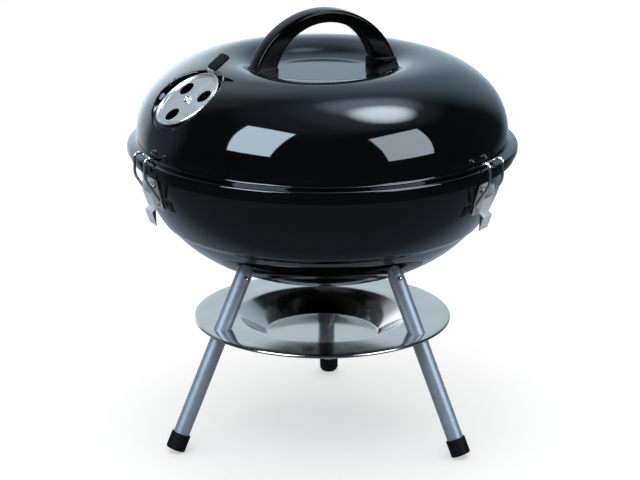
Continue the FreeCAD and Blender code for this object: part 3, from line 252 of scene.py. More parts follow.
class Finish:
    """A procedural material and the shader that it feeds."""

    def __init__(self, name, color, metallic, roughness, ior=1.5):
        self.material = bpy.data.materials.new(name)
        self.material.use_nodes = True
        self.tree = self.material.node_tree
        self.shader = self.tree.nodes["Principled BSDF"]
        self.shader.inputs["Base Color"].default_value = (*color, 1)
        self.shader.inputs["Metallic"].default_value = metallic
        self.shader.inputs["Roughness"].default_value = roughness
        self.shader.inputs["IOR"].default_value = ior
        self.where = self.tree.nodes.new("ShaderNodeTexCoord").outputs["Object"]

    def noise(self, scale, detail, stretch=None):
        """A pattern, finer for a larger scale; stretched along an axis for brushed and drawn metal."""
        where = self.where
        if stretch:
            where = linked(self.tree, "ShaderNodeMapping", Vector=where, Scale=stretch).outputs["Vector"]
        node = linked(self.tree, "ShaderNodeTexNoise", Vector=where, Scale=scale, Detail=detail)
        return node.outputs["Fac"]

    def feed(self, source, name):
        """Let an output drive an input of the shader."""
        self.tree.links.new(source, self.shader.inputs[name])

    def tint(self, scale, dark, light, detail=3.0):
        """Base colour that drifts between two shades."""
        ramp = linked(self.tree, "ShaderNodeValToRGB", Fac=self.noise(scale, detail))
        for stop, position, color in zip(ramp.color_ramp.elements, (0.35, 0.65), (dark, light)):
            stop.position = position
            stop.color = (*color, 1)
        self.feed(ramp.outputs["Color"], "Base Color")

    def gloss(self, scale, low, high):
        """Roughness that wanders between two values."""
        spread = linked(
            self.tree, "ShaderNodeMapRange", Value=self.noise(scale, 3.0),
            From_Min=0.3, From_Max=0.7, To_Min=low, To_Max=high,
        )
        self.feed(spread.outputs["Result"], "Roughness")

    def bump(self, scale, detail, depth, stretch=None):
        """Fine relief, its depth in millimetres."""
        pattern = self.noise(scale, detail, stretch)
        relief = linked(self.tree, "ShaderNodeBump", Height=pattern, Strength=1.0, Distance=depth * MM)
        self.feed(relief.outputs["Normal"], "Normal")


print("finish kit ready")

# %% [markdown]
# The blacks differ more in gloss than in colour. Enamel is glass fired on to steel: very dark, very smooth
# and a little wavy. The moulded handle is close to it but weaker in shine, and the soft sleeve and the foot
# caps are matt. A lower IOR is the plain way to weaken a shine without making it rougher.

# %% Black finishes
enamel = Finish("black_enamel", (0.0015, 0.0018, 0.0022), 0.0, 0.04)
enamel.gloss(35, 0.03, 0.055)
enamel.bump(260, 2.0, 0.006)
enamel.tint(14, (0.0010, 0.0013, 0.0016), (0.0020, 0.0023, 0.0027))

moulded = Finish("moulded_black", (0.002, 0.002, 0.002), 0.0, 0.1, 1.22)
moulded.gloss(60, 0.08, 0.14)
moulded.bump(900, 4.0, 0.006)
moulded.tint(40, (0.001, 0.001, 0.001), (0.003, 0.003, 0.003))

sleeve = Finish("sleeve_rubber", (0.004, 0.005, 0.007), 0.0, 0.55, 1.2)
sleeve.gloss(500, 0.48, 0.64)
sleeve.bump(2200, 4.0, 0.02)
sleeve.tint(150, (0.003, 0.004, 0.005), (0.007, 0.008, 0.011))

foot_black = Finish("foot_rubber", (0.003, 0.003, 0.004), 0.0, 0.6, 1.25)
foot_black.gloss(200, 0.54, 0.68)
foot_black.bump(1300, 4.0, 0.02)
foot_black.tint(90, (0.002, 0.002, 0.003), (0.004, 0.004, 0.005))
print("blacks:", [finish.material.name for finish in (enamel, moulded, sleeve, foot_black)])

# %% [markdown]
# The metals run from mirror to matt: a polished ash catcher with faint drawing lines, bright fasteners and
# wires, a satin vent disc with a brushed grain, pale zinc on the latches and a metallic paint on the legs.
# A grain could be a picture, but noise stretched along one axis has no seam and no lost detail close up.

# %% Metal finishes
satin = Finish("satin_steel", (0.62, 0.63, 0.64), 1.0, 0.3)
satin.gloss(120, 0.28, 0.38)
satin.bump(90, 4.0, 0.004, (14, 1, 1))
satin.tint(60, (0.66, 0.64, 0.62), (0.76, 0.74, 0.71))

bright = Finish("bright_steel", (0.78, 0.78, 0.77), 1.0, 0.16)
bright.gloss(300, 0.12, 0.22)
bright.bump(1400, 3.0, 0.004)
bright.tint(200, (0.72, 0.72, 0.71), (0.82, 0.82, 0.81))

silver = Finish("silver_leg_paint", (0.36, 0.41, 0.48), 0.6, 0.5)
silver.gloss(90, 0.46, 0.54)
silver.bump(1800, 3.0, 0.004)
silver.tint(2600, (0.33, 0.38, 0.45), (0.40, 0.45, 0.52), 2.0)

turned_steel = Finish("turned_steel", (0.5, 0.5, 0.5), 1.0, 0.35)
turned_steel.gloss(200, 0.3, 0.42)
turned_steel.bump(600, 2.0, 0.01, (1, 1, 6))

polished = Finish("polished_steel", (0.58, 0.52, 0.47), 1.0, 0.1)
polished.gloss(40, 0.07, 0.13)
polished.bump(70, 4.0, 0.003, (1, 22, 1))
polished.tint(18, (0.54, 0.49, 0.44), (0.61, 0.55, 0.50))

chrome = Finish("grate_chrome", (0.72, 0.73, 0.74), 1.0, 0.18)
chrome.gloss(180, 0.13, 0.26)
chrome.bump(700, 3.0, 0.01)
chrome.tint(70, (0.64, 0.65, 0.66), (0.76, 0.77, 0.78))

zinc = Finish("zinc_plate", (0.80, 0.81, 0.83), 0.4, 0.3)
zinc.gloss(220, 0.34, 0.44)
zinc.bump(1200, 3.0, 0.0015)
zinc.tint(130, (0.76, 0.77, 0.79), (0.84, 0.85, 0.87))

wire_plate = Finish("plated_wire", (0.72, 0.73, 0.74), 1.0, 0.17)
wire_plate.gloss(260, 0.13, 0.23)
wire_plate.bump(900, 3.0, 0.006)
wire_plate.tint(160, (0.66, 0.67, 0.68), (0.77, 0.78, 0.79))
metals = (satin, bright, silver, turned_steel, polished, chrome, zinc, wire_plate)
print("metals:", [finish.material.name for finish in metals])

# %% [markdown]
# The lid is one pressed sheet: a short skirt, a sloping flange, an upright wall, a full shoulder, a round
# crown and a sunk middle for the handle. Its outside is spun as a closed form so that the vent's pocket
# can be cut cleanly; the sheet gets its thickness later.

# %% The lid's outside
lid_low, lid_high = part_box("lid_shell")
RIM = lid_high.x / MM
SKIRT = lid_low.z / MM
CROWN = lid_high.z / MM
SKIRT_TOP = SKIRT + 3.8
RIM_BEND = 2.0
FLANGE_TURN = 74.0
FLANGE_END = (170.65, SKIRT + 7.41)
WALL_BEND = (171.2, SKIRT + 9.33)
WALL = 169.2
WALL_TOP = SKIRT + 14.73
SHOULDER_MIDDLE = 109.2
SHOULDER_TURN = 45.42
CROWN_RING = 93.1
CROWN_MIDDLE = 272.0
CROWN_BEND = 59.5
RECESS = CROWN - 11.9
RECESS_FLAT = 46.0
RECESS_BEND = 39.6
RECESS_TURN = 28.4
ROUND_SEGMENTS = 288

line = Outline(0, SKIRT).to(RIM, SKIRT, 4).to(RIM, SKIRT_TOP, 2)
line.around(RIM - RIM_BEND, SKIRT_TOP, FLANGE_TURN, 8).to(*FLANGE_END, 2)
line.around(*WALL_BEND, -FLANGE_TURN, 8).to(WALL, WALL_TOP, 3)
line.around(SHOULDER_MIDDLE, WALL_TOP, SHOULDER_TURN, 30)
line.around(CROWN_RING, CROWN_MIDDLE, 90 - SHOULDER_TURN, 34)
line.around(CROWN_RING, CROWN - CROWN_BEND, RECESS_TURN, 16)
line.around(RECESS_FLAT, RECESS + RECESS_BEND, -RECESS_TURN, 14).to(0, RECESS, 10)
lid = line.lathe(ROUND_SEGMENTS)
print("lid form:", len(lid.faces), "faces, rim", round(RIM, 2), "crown", round(CROWN, 2))

# %% [markdown]
# The vent has a frame of its own: its Z stands on the flat seat and its X points uphill. Its compass turn
# and its slope give the Z. The helper that turns two angles into a way serves the studio and the camera too.

# %% The vent's frame
VENT_TURN = 213.0
VENT_SLOPE = 54.0
VENT_SEAT = (-114.7255, -74.5036, 332.1396)


def heading(angle):
    """How far a way at an angle goes along and across."""
    return math.cos(math.radians(angle)), math.sin(math.radians(angle))


def toward(turn, rise):
    """The way to a far place, by its compass turn and its rise above level."""
    level, up = heading(rise)
    along, across = heading(turn)
    return Vector((level * along, level * across, up))


vent_axis = toward(VENT_TURN, VENT_SLOPE)
uphill = (Vector((0, 0, 1)) - vent_axis * vent_axis.z).normalized()
vent = Matrix((uphill, vent_axis.cross(uphill), vent_axis)).transposed().to_4x4()
vent.translation = Vector(VENT_SEAT) * MM
to_vent = vent.inverted()
print("vent axis", tuple(round(value, 3) for value in vent_axis))

# %% [markdown]
# The vent sits in a flat pocket pressed into the shoulder. A round bar cut through the dome leaves a clean
# ring of points on it. That ring is extruded inwards in eight small steps that sink smoothly to the flat
# seat, which gives the soft edge of a pressing, and the last ring is filled. A new point starts where an
# old one is, so the height that it began with is found by its place.

# %% The vent's pocket
POCKET_OUT = 38.0
POCKET_IN = 34.8
POCKET_STEPS = 8
CUT_LOW = -25.0
CUT_HIGH = 40.0
NEAR_SEAT = 12.0
SLACK = 1.0


def from_vent(point):
    """A point's distance from the vent's axis and its height over the seat, in millimetres."""
    local = (to_vent @ point) / MM
    return math.hypot(local.x, local.y), local.z


lid = carve(lid, bar(POCKET_OUT, CUT_LOW, CUT_HIGH, vent, 180))
spare = []
for face in lid.faces:
    reach, height = from_vent(face.calc_center_median())
    in_the_cut = reach < POCKET_OUT + 0.02 and CUT_LOW - SLACK < height < NEAR_SEAT
    under_the_lid = face.normal.z < -0.99
    if in_the_cut or under_the_lid:
        spare.append(face)
bmesh.ops.delete(lid, geom=spare, context="FACES")
ring = []
for edge in lid.edges:
    reach, height = from_vent((edge.verts[0].co + edge.verts[1].co) / 2)
    if edge.is_boundary and height > -NEAR_SEAT and reach < POCKET_OUT + SLACK:
        ring.append(edge)
heights = {vert.co.copy().freeze(): (to_vent @ vert.co).z for edge in ring for vert in edge.verts}
for step in range(1, POCKET_STEPS + 1):
    share = step / POCKET_STEPS
    sunk = share * share * (3 - 2 * share)
    radius = (POCKET_OUT + (POCKET_IN - POCKET_OUT) * share) * MM
    ring = only(bmesh.ops.extrude_edge_only(lid, edges=ring)["geom"], BMEdge)
    moved = {}
    for vert in {vert for edge in ring for vert in edge.verts}:
        height = heights[vert.co.copy().freeze()]
        local = to_vent @ vert.co
        reach = math.hypot(local.x, local.y)
        vert.co = vent @ Vector((local.x * radius / reach, local.y * radius / reach, height * (1 - sunk)))
        moved[vert.co.copy().freeze()] = height
    heights = moved
bmesh.ops.contextual_create(lid, geom=ring)
bmesh.ops.recalc_face_normals(lid, faces=lid.faces)
print("pocket ring:", len(ring), "edges")

# %% [markdown]
# A Solidify modifier turns the skin into a 1 mm sheet on its inner side. After that, three round holes for
# the smoke are cut through the flat seat, under the holes of the disc that turns on it.

# %% The lid's sheet and its smoke holes
SHEET = 1.0
HOLE_CIRCLE = 19.0
HOLE_RADIUS = 7.25
hole_places = [vent @ turned(180 + 120 * i, "Z") @ spot(HOLE_CIRCLE, 0, 0) for i in range(3)]
skin = as_object("lid_skin", lid)
sheet = skin.modifiers.new("sheet", "SOLIDIFY")
sheet.thickness = SHEET * MM
sheet.offset = -1
sheet.use_even_offset = True
lid = carve(taken_back(skin), *[bar(HOLE_RADIUS, -6, 6, place) for place in hole_places])
piece("pressed_lid", lid, "lid", "enamel", enamel, "lid_shell", sharp=40)

# %% [markdown]
# The bowl is the lid's partner: a round-bottomed pan with a crease low on its side, where the press tool
# ends, and a rim rolled outwards. Its section is a side arc and a lower arc, and their radii follow from
# the bowl's reach and depth and from the angle where they meet.

# %% The bowl's arcs
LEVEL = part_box("bowl_shell")[1].z / MM - 4.0
BOWL = 168.0
BOWL_FLOOR = 38.0
BOWL_DEPTH = 119.6
MEET = 51.08
CREASE = 36.5
CREASE_END = CREASE + 1.7
STEP_IN = 1.6


def two_arcs(reach, rise, meet):
    """Radii of a side arc and an end arc that run smoothly into each other."""
    across, along = heading(meet)
    rest = 1 - across - along
    return (reach * (1 - along) - rise * across) / rest, (rise * (1 - across) - reach * along) / rest


SIDE, LOWER = two_arcs(BOWL - BOWL_FLOOR, BOWL_DEPTH, MEET)
HUB = BOWL - SIDE
BOTTOM = LEVEL - BOWL_DEPTH


def bowl_point(radius, angle):
    """A point of the side arc, by its radius and its angle below level."""
    across, along = heading(angle)
    return radius * across + HUB, LEVEL - radius * along


print("bowl arcs: side", round(SIDE, 1), "lower", round(LOWER, 1))

# %% [markdown]
# Both faces of the bowl's sheet are drawn in one outline that starts and ends on the axis, so the spin
# closes by itself: up the inside, over the rolled rim with its lip, and down the outside. Three air holes
# go through the bottom.

# %% The bowl
ROLL = BOWL + 3.0
LIP_LOW = LEVEL - 7.9
AIR_CIRCLE = 28.0
AIR_HOLE = 6.0
line = Outline(0, BOTTOM + STEP_IN + SHEET).to(BOWL_FLOOR, BOTTOM + STEP_IN + SHEET, 8)
line.around(BOWL_FLOOR, BOTTOM + LOWER, 90 - MEET, 26).around(HUB, LEVEL, MEET - CREASE_END, 8)
line.to(*bowl_point(SIDE - SHEET, CREASE), 2).around(HUB, LEVEL, CREASE, 26).around(ROLL, LEVEL, -180, 18)
line.to(ROLL + 4, LIP_LOW, 3).to(ROLL + 3, LIP_LOW).to(ROLL + 3, LEVEL, 3)
line.around(ROLL, LEVEL, 180, 14).around(HUB, LEVEL, -CREASE, 26)
line.to(*bowl_point(SIDE - STEP_IN, CREASE_END), 2).around(HUB, LEVEL, CREASE_END - MEET, 8)
line.around(BOWL_FLOOR, BOTTOM + LOWER, MEET - 90, 26).to(0, BOTTOM + STEP_IN, 8)
air_places = [turned(120 * i, "Z") @ spot(AIR_CIRCLE, 0, BOTTOM + 2) for i in range(3)]
bowl = carve(line.lathe(ROUND_SEGMENTS), *[bar(AIR_HOLE, -6, 6, place) for place in air_places])
piece("pressed_bowl", bowl, "grill", "enamel", enamel, "bowl_shell", sharp=50)

# %% [markdown]
# The handle is one moulding: an arch that is slim where fingers hold it and broad at its feet. Two arcs
# with the same number of steps are bridged into a band of even quads, which a single many-sided face would
# not give, and the band gets its depth.

# %% The handle's band
FOOT = RECESS + 9.0
TOP = RECESS + 57.2
SPAN = 68.75
OPEN_HALF = 47.8
OPEN_TOP = RECESS + 46.0
DEPTH = 9.5
ARCH_STEPS = 72


def arch(half, top):
    """Centre height, radius and foot angle of an arch on the handle's feet."""
    radius = (half ** 2 + (top - FOOT) ** 2) / (2 * (top - FOOT))
    return top - radius, radius, math.degrees(math.atan2(FOOT - top + radius, half))


outer_z, outer_r, outer_foot = arch(SPAN, TOP)
inner_z, inner_r, inner_foot = arch(OPEN_HALF, OPEN_TOP)
outer = Outline(SPAN, FOOT).around(0, outer_z, 180 - 2 * outer_foot, ARCH_STEPS)
inner = Outline(OPEN_HALF, FOOT).around(0, inner_z, 180 - 2 * inner_foot, ARCH_STEPS)
handle = joined(outer.bm, inner.bm)
bmesh.ops.bridge_loops(handle, edges=handle.edges[:])
bmesh.ops.translate(handle, verts=handle.verts, vec=(0, -DEPTH * MM, 0))
grown = bmesh.ops.extrude_face_region(handle, geom=handle.faces[:], use_keep_orig=True)["geom"]
bmesh.ops.translate(handle, verts=only(grown, BMVert), vec=(0, 2 * DEPTH * MM, 0))
bmesh.ops.recalc_face_normals(handle, faces=handle.faces)
print("handle band:", len(handle.faces), "faces")

# %% [markdown]
# A moulding has no sharp edge. The outer edges get a large round and the inner ones a small one, and a
# narrow inset keeps the flat faces flat right up to the rounds. The handle stands turned on the lid, with
# one foot towards the vent.

# %% The handle's rounds
OUTER_ROUND = 3.0
INNER_ROUND = 1.6
FLAT_INSET = 0.4
HANDLE_TURN = turned(27, "Z")
ON_ARCH = 0.02


def soften(bm, edges, radius, segments=3):
    """Round edges off, as pressing and tumbling does."""
    bmesh.ops.bevel(
        bm, geom=edges, offset=radius * MM, offset_type="OFFSET", affect="EDGES",
        segments=segments, profile=0.5, material=-1, clamp_overlap=True,
    )
    return bm


def arch_rim(center, radius):
    """The long edges of one arch, front and back."""
    found = []
    for edge in handle.edges:
        ends = [vert.co / MM for vert in edge.verts]
        on_arch = all(abs(math.hypot(end.x, end.z - center) - radius) < ON_ARCH for end in ends)
        if on_arch and abs(ends[0].y - ends[1].y) < ON_ARCH:
            found.append(edge)
    return found


soften(handle, arch_rim(outer_z, outer_r), OUTER_ROUND, 6)
soften(handle, arch_rim(inner_z, inner_r), INNER_ROUND, 4)
flats = [face for face in handle.faces if abs(face.normal.y) > 0.999]
bmesh.ops.inset_region(handle, faces=flats, thickness=FLAT_INSET * MM, use_even_offset=True)
handle.transform(HANDLE_TURN)
piece("moulded_handle", handle, "lid", "handle_plastic", moulded, "lid_handle", sharp=45)

# %% [markdown]
# Under each foot of the handle a shoe fits the slope of the lid. It starts as a block with softened edges,
# and a spun copy of the recess, 0.3 mm above the lid, is cut away from it so that it sits down all round.

# %% The handle's shoes
SHOE_GAP = 0.3
SHOE_OVER = 0.8
SHOE_BLOCK = 14.0
SHOE_ROUND = 0.4
MOULD_LOW = RECESS - 20.0


def block(size, middle):
    """A box by its size and its middle."""
    bm = bmesh.new()
    bmesh.ops.create_cube(bm, size=MM)
    bmesh.ops.scale(bm, verts=bm.verts, vec=size)
    bmesh.ops.translate(bm, verts=bm.verts, vec=Vector(middle) * MM)
    return bm


def recess_mould():
    """The lid's recess as a solid, a small gap above the lid."""
    floor = RECESS + SHOE_GAP
    line = Outline(0, floor).to(RECESS_FLAT, floor, 6)
    line.around(RECESS_FLAT, RECESS + RECESS_BEND, RECESS_TURN, 14)
    line.around(CROWN_RING, CROWN - CROWN_BEND, -RECESS_TURN, 16)
    return line.to(CROWN_RING, MOULD_LOW).to(0, MOULD_LOW).lathe(180)


shoe_size = (SPAN - OPEN_HALF + SHOE_OVER, 2 * DEPTH + SHOE_OVER, SHOE_BLOCK)
for side, sign in (("left", -1), ("right", 1)):
    shoe = block(shoe_size, (sign * (SPAN + OPEN_HALF) / 2, 0, FOOT - SHOE_BLOCK / 2))
    upper = [edge for edge in shoe.edges if max(vert.co.z for vert in edge.verts) > (FOOT - 0.01) * MM]
    soften(shoe, upper, SHOE_ROUND)
    shoe.transform(HANDLE_TURN)
    shoe = carve(shoe, recess_mould())
    piece("handle_shoe_block_" + side, shoe, "lid", "handle_plastic", moulded, "handle_shoe_" + side)

# %% [markdown]
# The vent's disc is bare steel with a raised bead and a rolled rim. It is drawn and spun about Z, pierced by
# three holes and joined by the bent tab that carries the grip, and only then moved into the vent's place.
# Its shape is easier to read in its own frame, where X points uphill.

# %% The vent's disc
DISC_BORE = 2.1
DISC_LOW = 0.25
DISC_TOP = 1.0
BEAD = 28.0
BEAD_RADIUS = 0.4
RIM_FOOT = 29.4
RIM_MEET = (30.91, 2.28)
RIM_ROLL = (31.6, 1.7)
RIM_UNDER = 30.4
TAB_OUT = 31.99
TAB_FOOT = 1.8
TAB_BEND = (33.49, 5.1)
TAB_END = 49.0
TAB_LOW = 6.6
TAB_HALF = 4.5


def sharp_edges(bm, angle):
    """Edges where two faces meet at more than an angle."""
    limit = math.radians(angle)
    return [edge for edge in bm.edges if edge.is_manifold and edge.calc_face_angle() > limit]


line = Outline(DISC_BORE, DISC_TOP).to(BEAD - BEAD_RADIUS, DISC_TOP, 8).around(BEAD, DISC_TOP, -180, 6)
line.to(RIM_FOOT, DISC_TOP, 2).around(RIM_FOOT, DISC_TOP + 1, 50, 5).to(*RIM_MEET)
line.around(*RIM_ROLL, -230, 16).to(RIM_UNDER, DISC_LOW).to(DISC_BORE, DISC_LOW, 4)
disc = line.closed().lathe(144)
disc = carve(disc, *[bar(HOLE_RADIUS, -4, 6, to_vent @ place, 64) for place in hole_places])
line = Outline(TAB_OUT, TAB_FOOT).to(TAB_OUT, TAB_BEND[1]).around(*TAB_BEND, -90, 6).to(TAB_END, TAB_LOW)
line.to(TAB_END, TAB_LOW + SHEET).to(TAB_BEND[0], TAB_LOW + SHEET).around(*TAB_BEND, 90, 8)
tab = line.to(TAB_OUT - SHEET, TAB_FOOT).plate(-TAB_HALF, TAB_HALF)
soften(tab, sharp_edges(tab, 50), 0.25, 2)
disc = placed(joined(disc, tab), vent)
piece("vent_disc", disc, "damper", "damper_steel", satin, "lid_damper_disc", sharp=38)

# %% [markdown]
# A soft black sleeve is pushed over the tab. Seen from above its corners are round, and all its other
# edges are softened too, so it is bevelled twice: first the four upright corners, then the rest. The rivet
# that holds the disc has a small dome inside a raised ring, which is again an outline to spin.

# %% The grip and the rivet
GRIP_SIZE = (19.0, 14.5, 3.4)
GRIP_MIDDLE = (43.0, 0.0, 7.1)
GRIP_CORNER = 3.2
GRIP_ROUND = 1.2
grip = block(GRIP_SIZE, GRIP_MIDDLE)
corners = [edge for edge in grip.edges if abs(edge.verts[0].co.z - edge.verts[1].co.z) > MM]
soften(grip, corners, GRIP_CORNER, 7)
soften(grip, sharp_edges(grip, 60), GRIP_ROUND, 5)
grip.transform(vent)
piece("vent_grip", grip, "damper", "grip_rubber", sleeve, "lid_damper_grip", sharp=50)

RIVET_TOP = 3.06
RIVET_BALL = 1.8
RIVET_BEAD = (3.02, 2.05)
RIVET_SEAT = 1.06
SHANK = 2.0
TAIL_SEAT = -1.72
TAIL_RADIUS = 4.0
line = Outline(0, RIVET_TOP).around(0, RIVET_TOP - RIVET_BALL, -75, 8)
line.to(2.2, 1.95).around(*RIVET_BEAD, -160, 10)
line.to(3.95, RIVET_SEAT).to(SHANK, RIVET_SEAT).to(SHANK, TAIL_SEAT).to(TAIL_RADIUS, TAIL_SEAT)
rivet = placed(line.to(TAIL_RADIUS, TAIL_SEAT - 1).to(0, TAIL_SEAT - 1).lathe(48), vent)
piece("vent_rivet", rivet, "lid", "bright_fastener", bright, "lid_damper_rivet")

# %% [markdown]
# The three legs are straight tubes that lean in from the feet and pass through the ash catcher. One leg is
# drawn standing on the origin; a matrix leans it, moves it out to the foot circle and turns it to its side.
# Each foot has a black cap that is cut flat where it meets the ground.

# %% Legs and foot caps
SPLAY = 24.3
FOOT_CIRCLE = 151.5
FOOT_RISE = 2.7036
LEG = 7.5
LEG_BORE = 6.5
LEG_LOW = 4.0
CAP = 9.0
CAP_BORE = 7.6
CAP_TOP = 16.0
CAP_ROUND = 1.4
CAP_LIP = 0.7
leg_lean = spot(FOOT_CIRCLE, 0, FOOT_RISE) @ turned(-SPLAY, "Y")
lean_up, lean_in = heading(SPLAY)
leg_top = (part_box("leg_rear")[1].z / MM - FOOT_RISE - LEG * lean_in) / lean_up


def leg_tube():
    """A tube with its two ends broken."""
    line = Outline(LEG_BORE, LEG_LOW).to(LEG - 0.2, LEG_LOW).to(LEG, LEG_LOW + 0.2)
    line.to(LEG, leg_top - 0.3, 12).to(LEG - 0.3, leg_top).to(LEG_BORE, leg_top)
    return line.closed().lathe(64)


def foot_cap():
    """A cup that takes the end of a leg."""
    line = Outline(0, 0).to(CAP - CAP_ROUND, 0, 3).around(CAP - CAP_ROUND, CAP_ROUND, 90, 6)
    line.to(CAP, CAP_TOP - CAP_LIP, 4).around(CAP - CAP_LIP, CAP_TOP - CAP_LIP, 90, 4)
    return line.to(CAP_BORE, CAP_TOP).to(CAP_BORE, LEG_LOW).to(0, LEG_LOW).lathe(64)


for side, azimuth in SIDES.items():
    place = turned(azimuth, "Z") @ leg_lean
    piece("tube_leg_" + side, placed(leg_tube(), place), "grill", "leg_paint", silver, "leg_" + side)
    cap = placed(foot_cap(), place)
    whole = cap.verts[:] + cap.edges[:] + cap.faces[:]
    cut = bmesh.ops.bisect_plane(cap, geom=whole, plane_co=(0, 0, 0), plane_no=(0, 0, -1), clear_outer=True)
    bmesh.ops.contextual_create(cap, geom=only(cut["geom_cut"], BMEdge))
    piece("foot_cap_moulding_" + side, cap, "grill", "foot_rubber", foot_black, "foot_cap_" + side)

# %% [markdown]
# A small bright rivet holds each leg near its top. Its head is a low dome: an arc from the middle to the
# edge whose ball radius follows from the head's radius and height.

# %% Leg rivets
LEG_RIVET = 2.4
LEG_RIVET_RISE = 0.9
LEG_RIVET_DROP = 4.0
RIVET_TURN = {"rear": 180.0, "left": 88.0, "right": -32.0}


def cap_dome(radius, height, base, place, segments):
    """A low domed head that stands on a base height."""
    ball = (radius ** 2 + height ** 2) / (2 * height)
    turn = math.degrees(math.asin(radius / ball))
    line = Outline(0, base + height).around(0, base + height - ball, -turn, 8)
    return placed(line.to(radius, base - 0.1).to(0, base - 0.1).lathe(segments), place)


heads = []
for side, azimuth in SIDES.items():
    place = turned(azimuth, "Z") @ leg_lean @ spot(0, 0, leg_top - LEG_RIVET_DROP)
    place = place @ turned(RIVET_TURN[side], "Z") @ turned(90, "Y")
    heads.append(cap_dome(LEG_RIVET, LEG_RIVET_RISE, LEG + 0.1, place, 32))
piece("leg_rivet_heads", joined(*heads), "grill", "bright_fastener", bright, "leg_rivets")

# %% [markdown]
# The ash catcher is a shallow polished dish with a wide flat flange and a rolled edge. Its outline runs out
# along the underside, round the bead and back along the top, and the three leg holes are cut on the slant.

# %% The ash catcher
plate_low, plate_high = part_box("ash_catcher")
EDGE = plate_high.x / MM
BASE = plate_low.z / MM
DISH_DEPTH = 19.2
DISH_RUN = 26.2
DISH_SLOPE = math.degrees(math.atan2(DISH_DEPTH, DISH_RUN))
FLAT = BASE + DISH_DEPTH
MOUTH = EDGE - 41.0
FLOOR_END = MOUTH - DISH_RUN
PLATE_SHEET = 0.8
BEND_RADIUS = 5.0
BEND = BEND_RADIUS * math.tan(math.radians(DISH_SLOPE / 2))
ROLL_MEET = EDGE - 2.827
ROLL_MIDDLE = (EDGE - 1.5, FLAT - 0.7)
ROLL_TURN = 297.8
LEG_HOLE = 7.9
level_run, level_rise = heading(DISH_SLOPE)
low_bend = (FLOOR_END - BEND, BASE + BEND_RADIUS)
high_bend = (MOUTH + BEND, FLAT - BEND_RADIUS)
inside = BEND_RADIUS - PLATE_SHEET

line = Outline(0, BASE).to(FLOOR_END - BEND, BASE, 6).around(*low_bend, DISH_SLOPE, 8)
line.to(MOUTH - BEND * level_run, FLAT - BEND * level_rise, 4).around(*high_bend, -DISH_SLOPE, 8)
line.to(ROLL_MEET, FLAT, 6).around(*ROLL_MIDDLE, ROLL_TURN, 22)
line.to(MOUTH + BEND, FLAT + PLATE_SHEET, 6).around(*high_bend, DISH_SLOPE, 8)
line.to(low_bend[0] + inside * level_rise, low_bend[1] - inside * level_run, 4)
line.around(*low_bend, -DISH_SLOPE, 8).to(0, BASE + PLATE_SHEET, 6)
leg_holes = [bar(LEG_HOLE, 60, 200, turned(azimuth, "Z") @ leg_lean, 64) for azimuth in SIDES.values()]
catcher = carve(line.lathe(240), *leg_holes)
piece("ash_catcher_dish", catcher, "grill", "plate_steel", polished, "ash_catcher", sharp=40)

# %% [markdown]
# Each latch is a small bent-metal mechanism: a bracket riveted to the bowl, a lever on a pin and a wire
# bail that hooks over the lid's flange. All three are alike, so one is drawn at the front of the X axis
# and turned to its place. The bracket is a base plate with two ears.

# %% Latch brackets
LATCH_DROP = 26.4
BACK_FACE = 0.3
BRACKET_SHEET = 1.2
FRONT_FACE = BACK_FACE + BRACKET_SHEET
BRACKET_HALF = 15.0
EAR_TIP = (4.5, 10.8)
EAR_ROUND = 3.2
EAR_GAP = 6.8
side_drop = math.degrees(math.asin(LATCH_DROP / SIDE))
bracket_place = spot(bowl_point(SIDE, side_drop)[0], 0, LEVEL - LATCH_DROP) @ turned(side_drop, "Y")


def bracket():
    """A base plate between two ears."""
    ears = []
    for low in (-EAR_GAP - BRACKET_SHEET, EAR_GAP):
        line = Outline(BACK_FACE, -BRACKET_HALF).to(FRONT_FACE, -BRACKET_HALF).to(FRONT_FACE, 0)
        line.to(EAR_TIP[0] + EAR_ROUND, EAR_TIP[1]).around(*EAR_TIP, 90, 10)
        ear = line.to(FRONT_FACE, BRACKET_HALF).to(BACK_FACE, BRACKET_HALF).plate(low, low + BRACKET_SHEET)
        ears.append(soften(ear, sharp_edges(ear, 50), 0.25, 2))
    line = Outline(BACK_FACE, -BRACKET_HALF).to(FRONT_FACE, -BRACKET_HALF)
    base = line.to(FRONT_FACE, BRACKET_HALF).to(BACK_FACE, BRACKET_HALF).plate(-EAR_GAP, EAR_GAP)
    return placed(joined(*ears, base), bracket_place)


for side, azimuth in SIDES.items():
    plate = placed(bracket(), turned(azimuth, "Z"))
    piece("latch_bracket_plate_" + side, plate, "grill", "latch_plate", zinc, "latch_bracket_" + side)

# %% [markdown]
# Two rivets go through each bracket and the bowl's wall. The wall curves away from the flat bracket, so the
# inner heads sit as far back as the curve is at the head's far edge.

# %% Latch rivets
LATCH_RIVET = 3.0
LATCH_RIVET_RISE = 1.0
LATCH_SHANK = 1.5
RIVET_HEIGHTS = (3.5, -10.0)
WALL_BACK = 1.1


def bracket_rivets():
    """Both rivets of a bracket, with heads outside and inside."""
    heads = []
    for height in RIVET_HEIGHTS:
        place = bracket_place @ spot(0, 0, height) @ turned(90, "Y")
        back = WALL_BACK + (abs(height) + LATCH_RIVET) ** 2 / (2 * SIDE)
        heads.append(cap_dome(LATCH_RIVET, LATCH_RIVET_RISE, FRONT_FACE, place, 28))
        heads.append(cap_dome(LATCH_RIVET, LATCH_RIVET_RISE, back, place @ turned(180, "X"), 28))
        heads.append(bar(LATCH_SHANK, -back, FRONT_FACE, place, 20))
    return joined(*heads)


rivets = [placed(bracket_rivets(), turned(azimuth, "Z")) for azimuth in SIDES.values()]
piece("latch_rivet_heads", joined(*rivets), "grill", "bright_fastener", bright, "latch_rivets")

# %% [markdown]
# The lever is a channel: two cheeks on the pin, a front plate between them and a stepped tail to pull on.
# Every blank is cut from 1 mm sheet, drawn from the side, given its width and rounded at its cut edges.

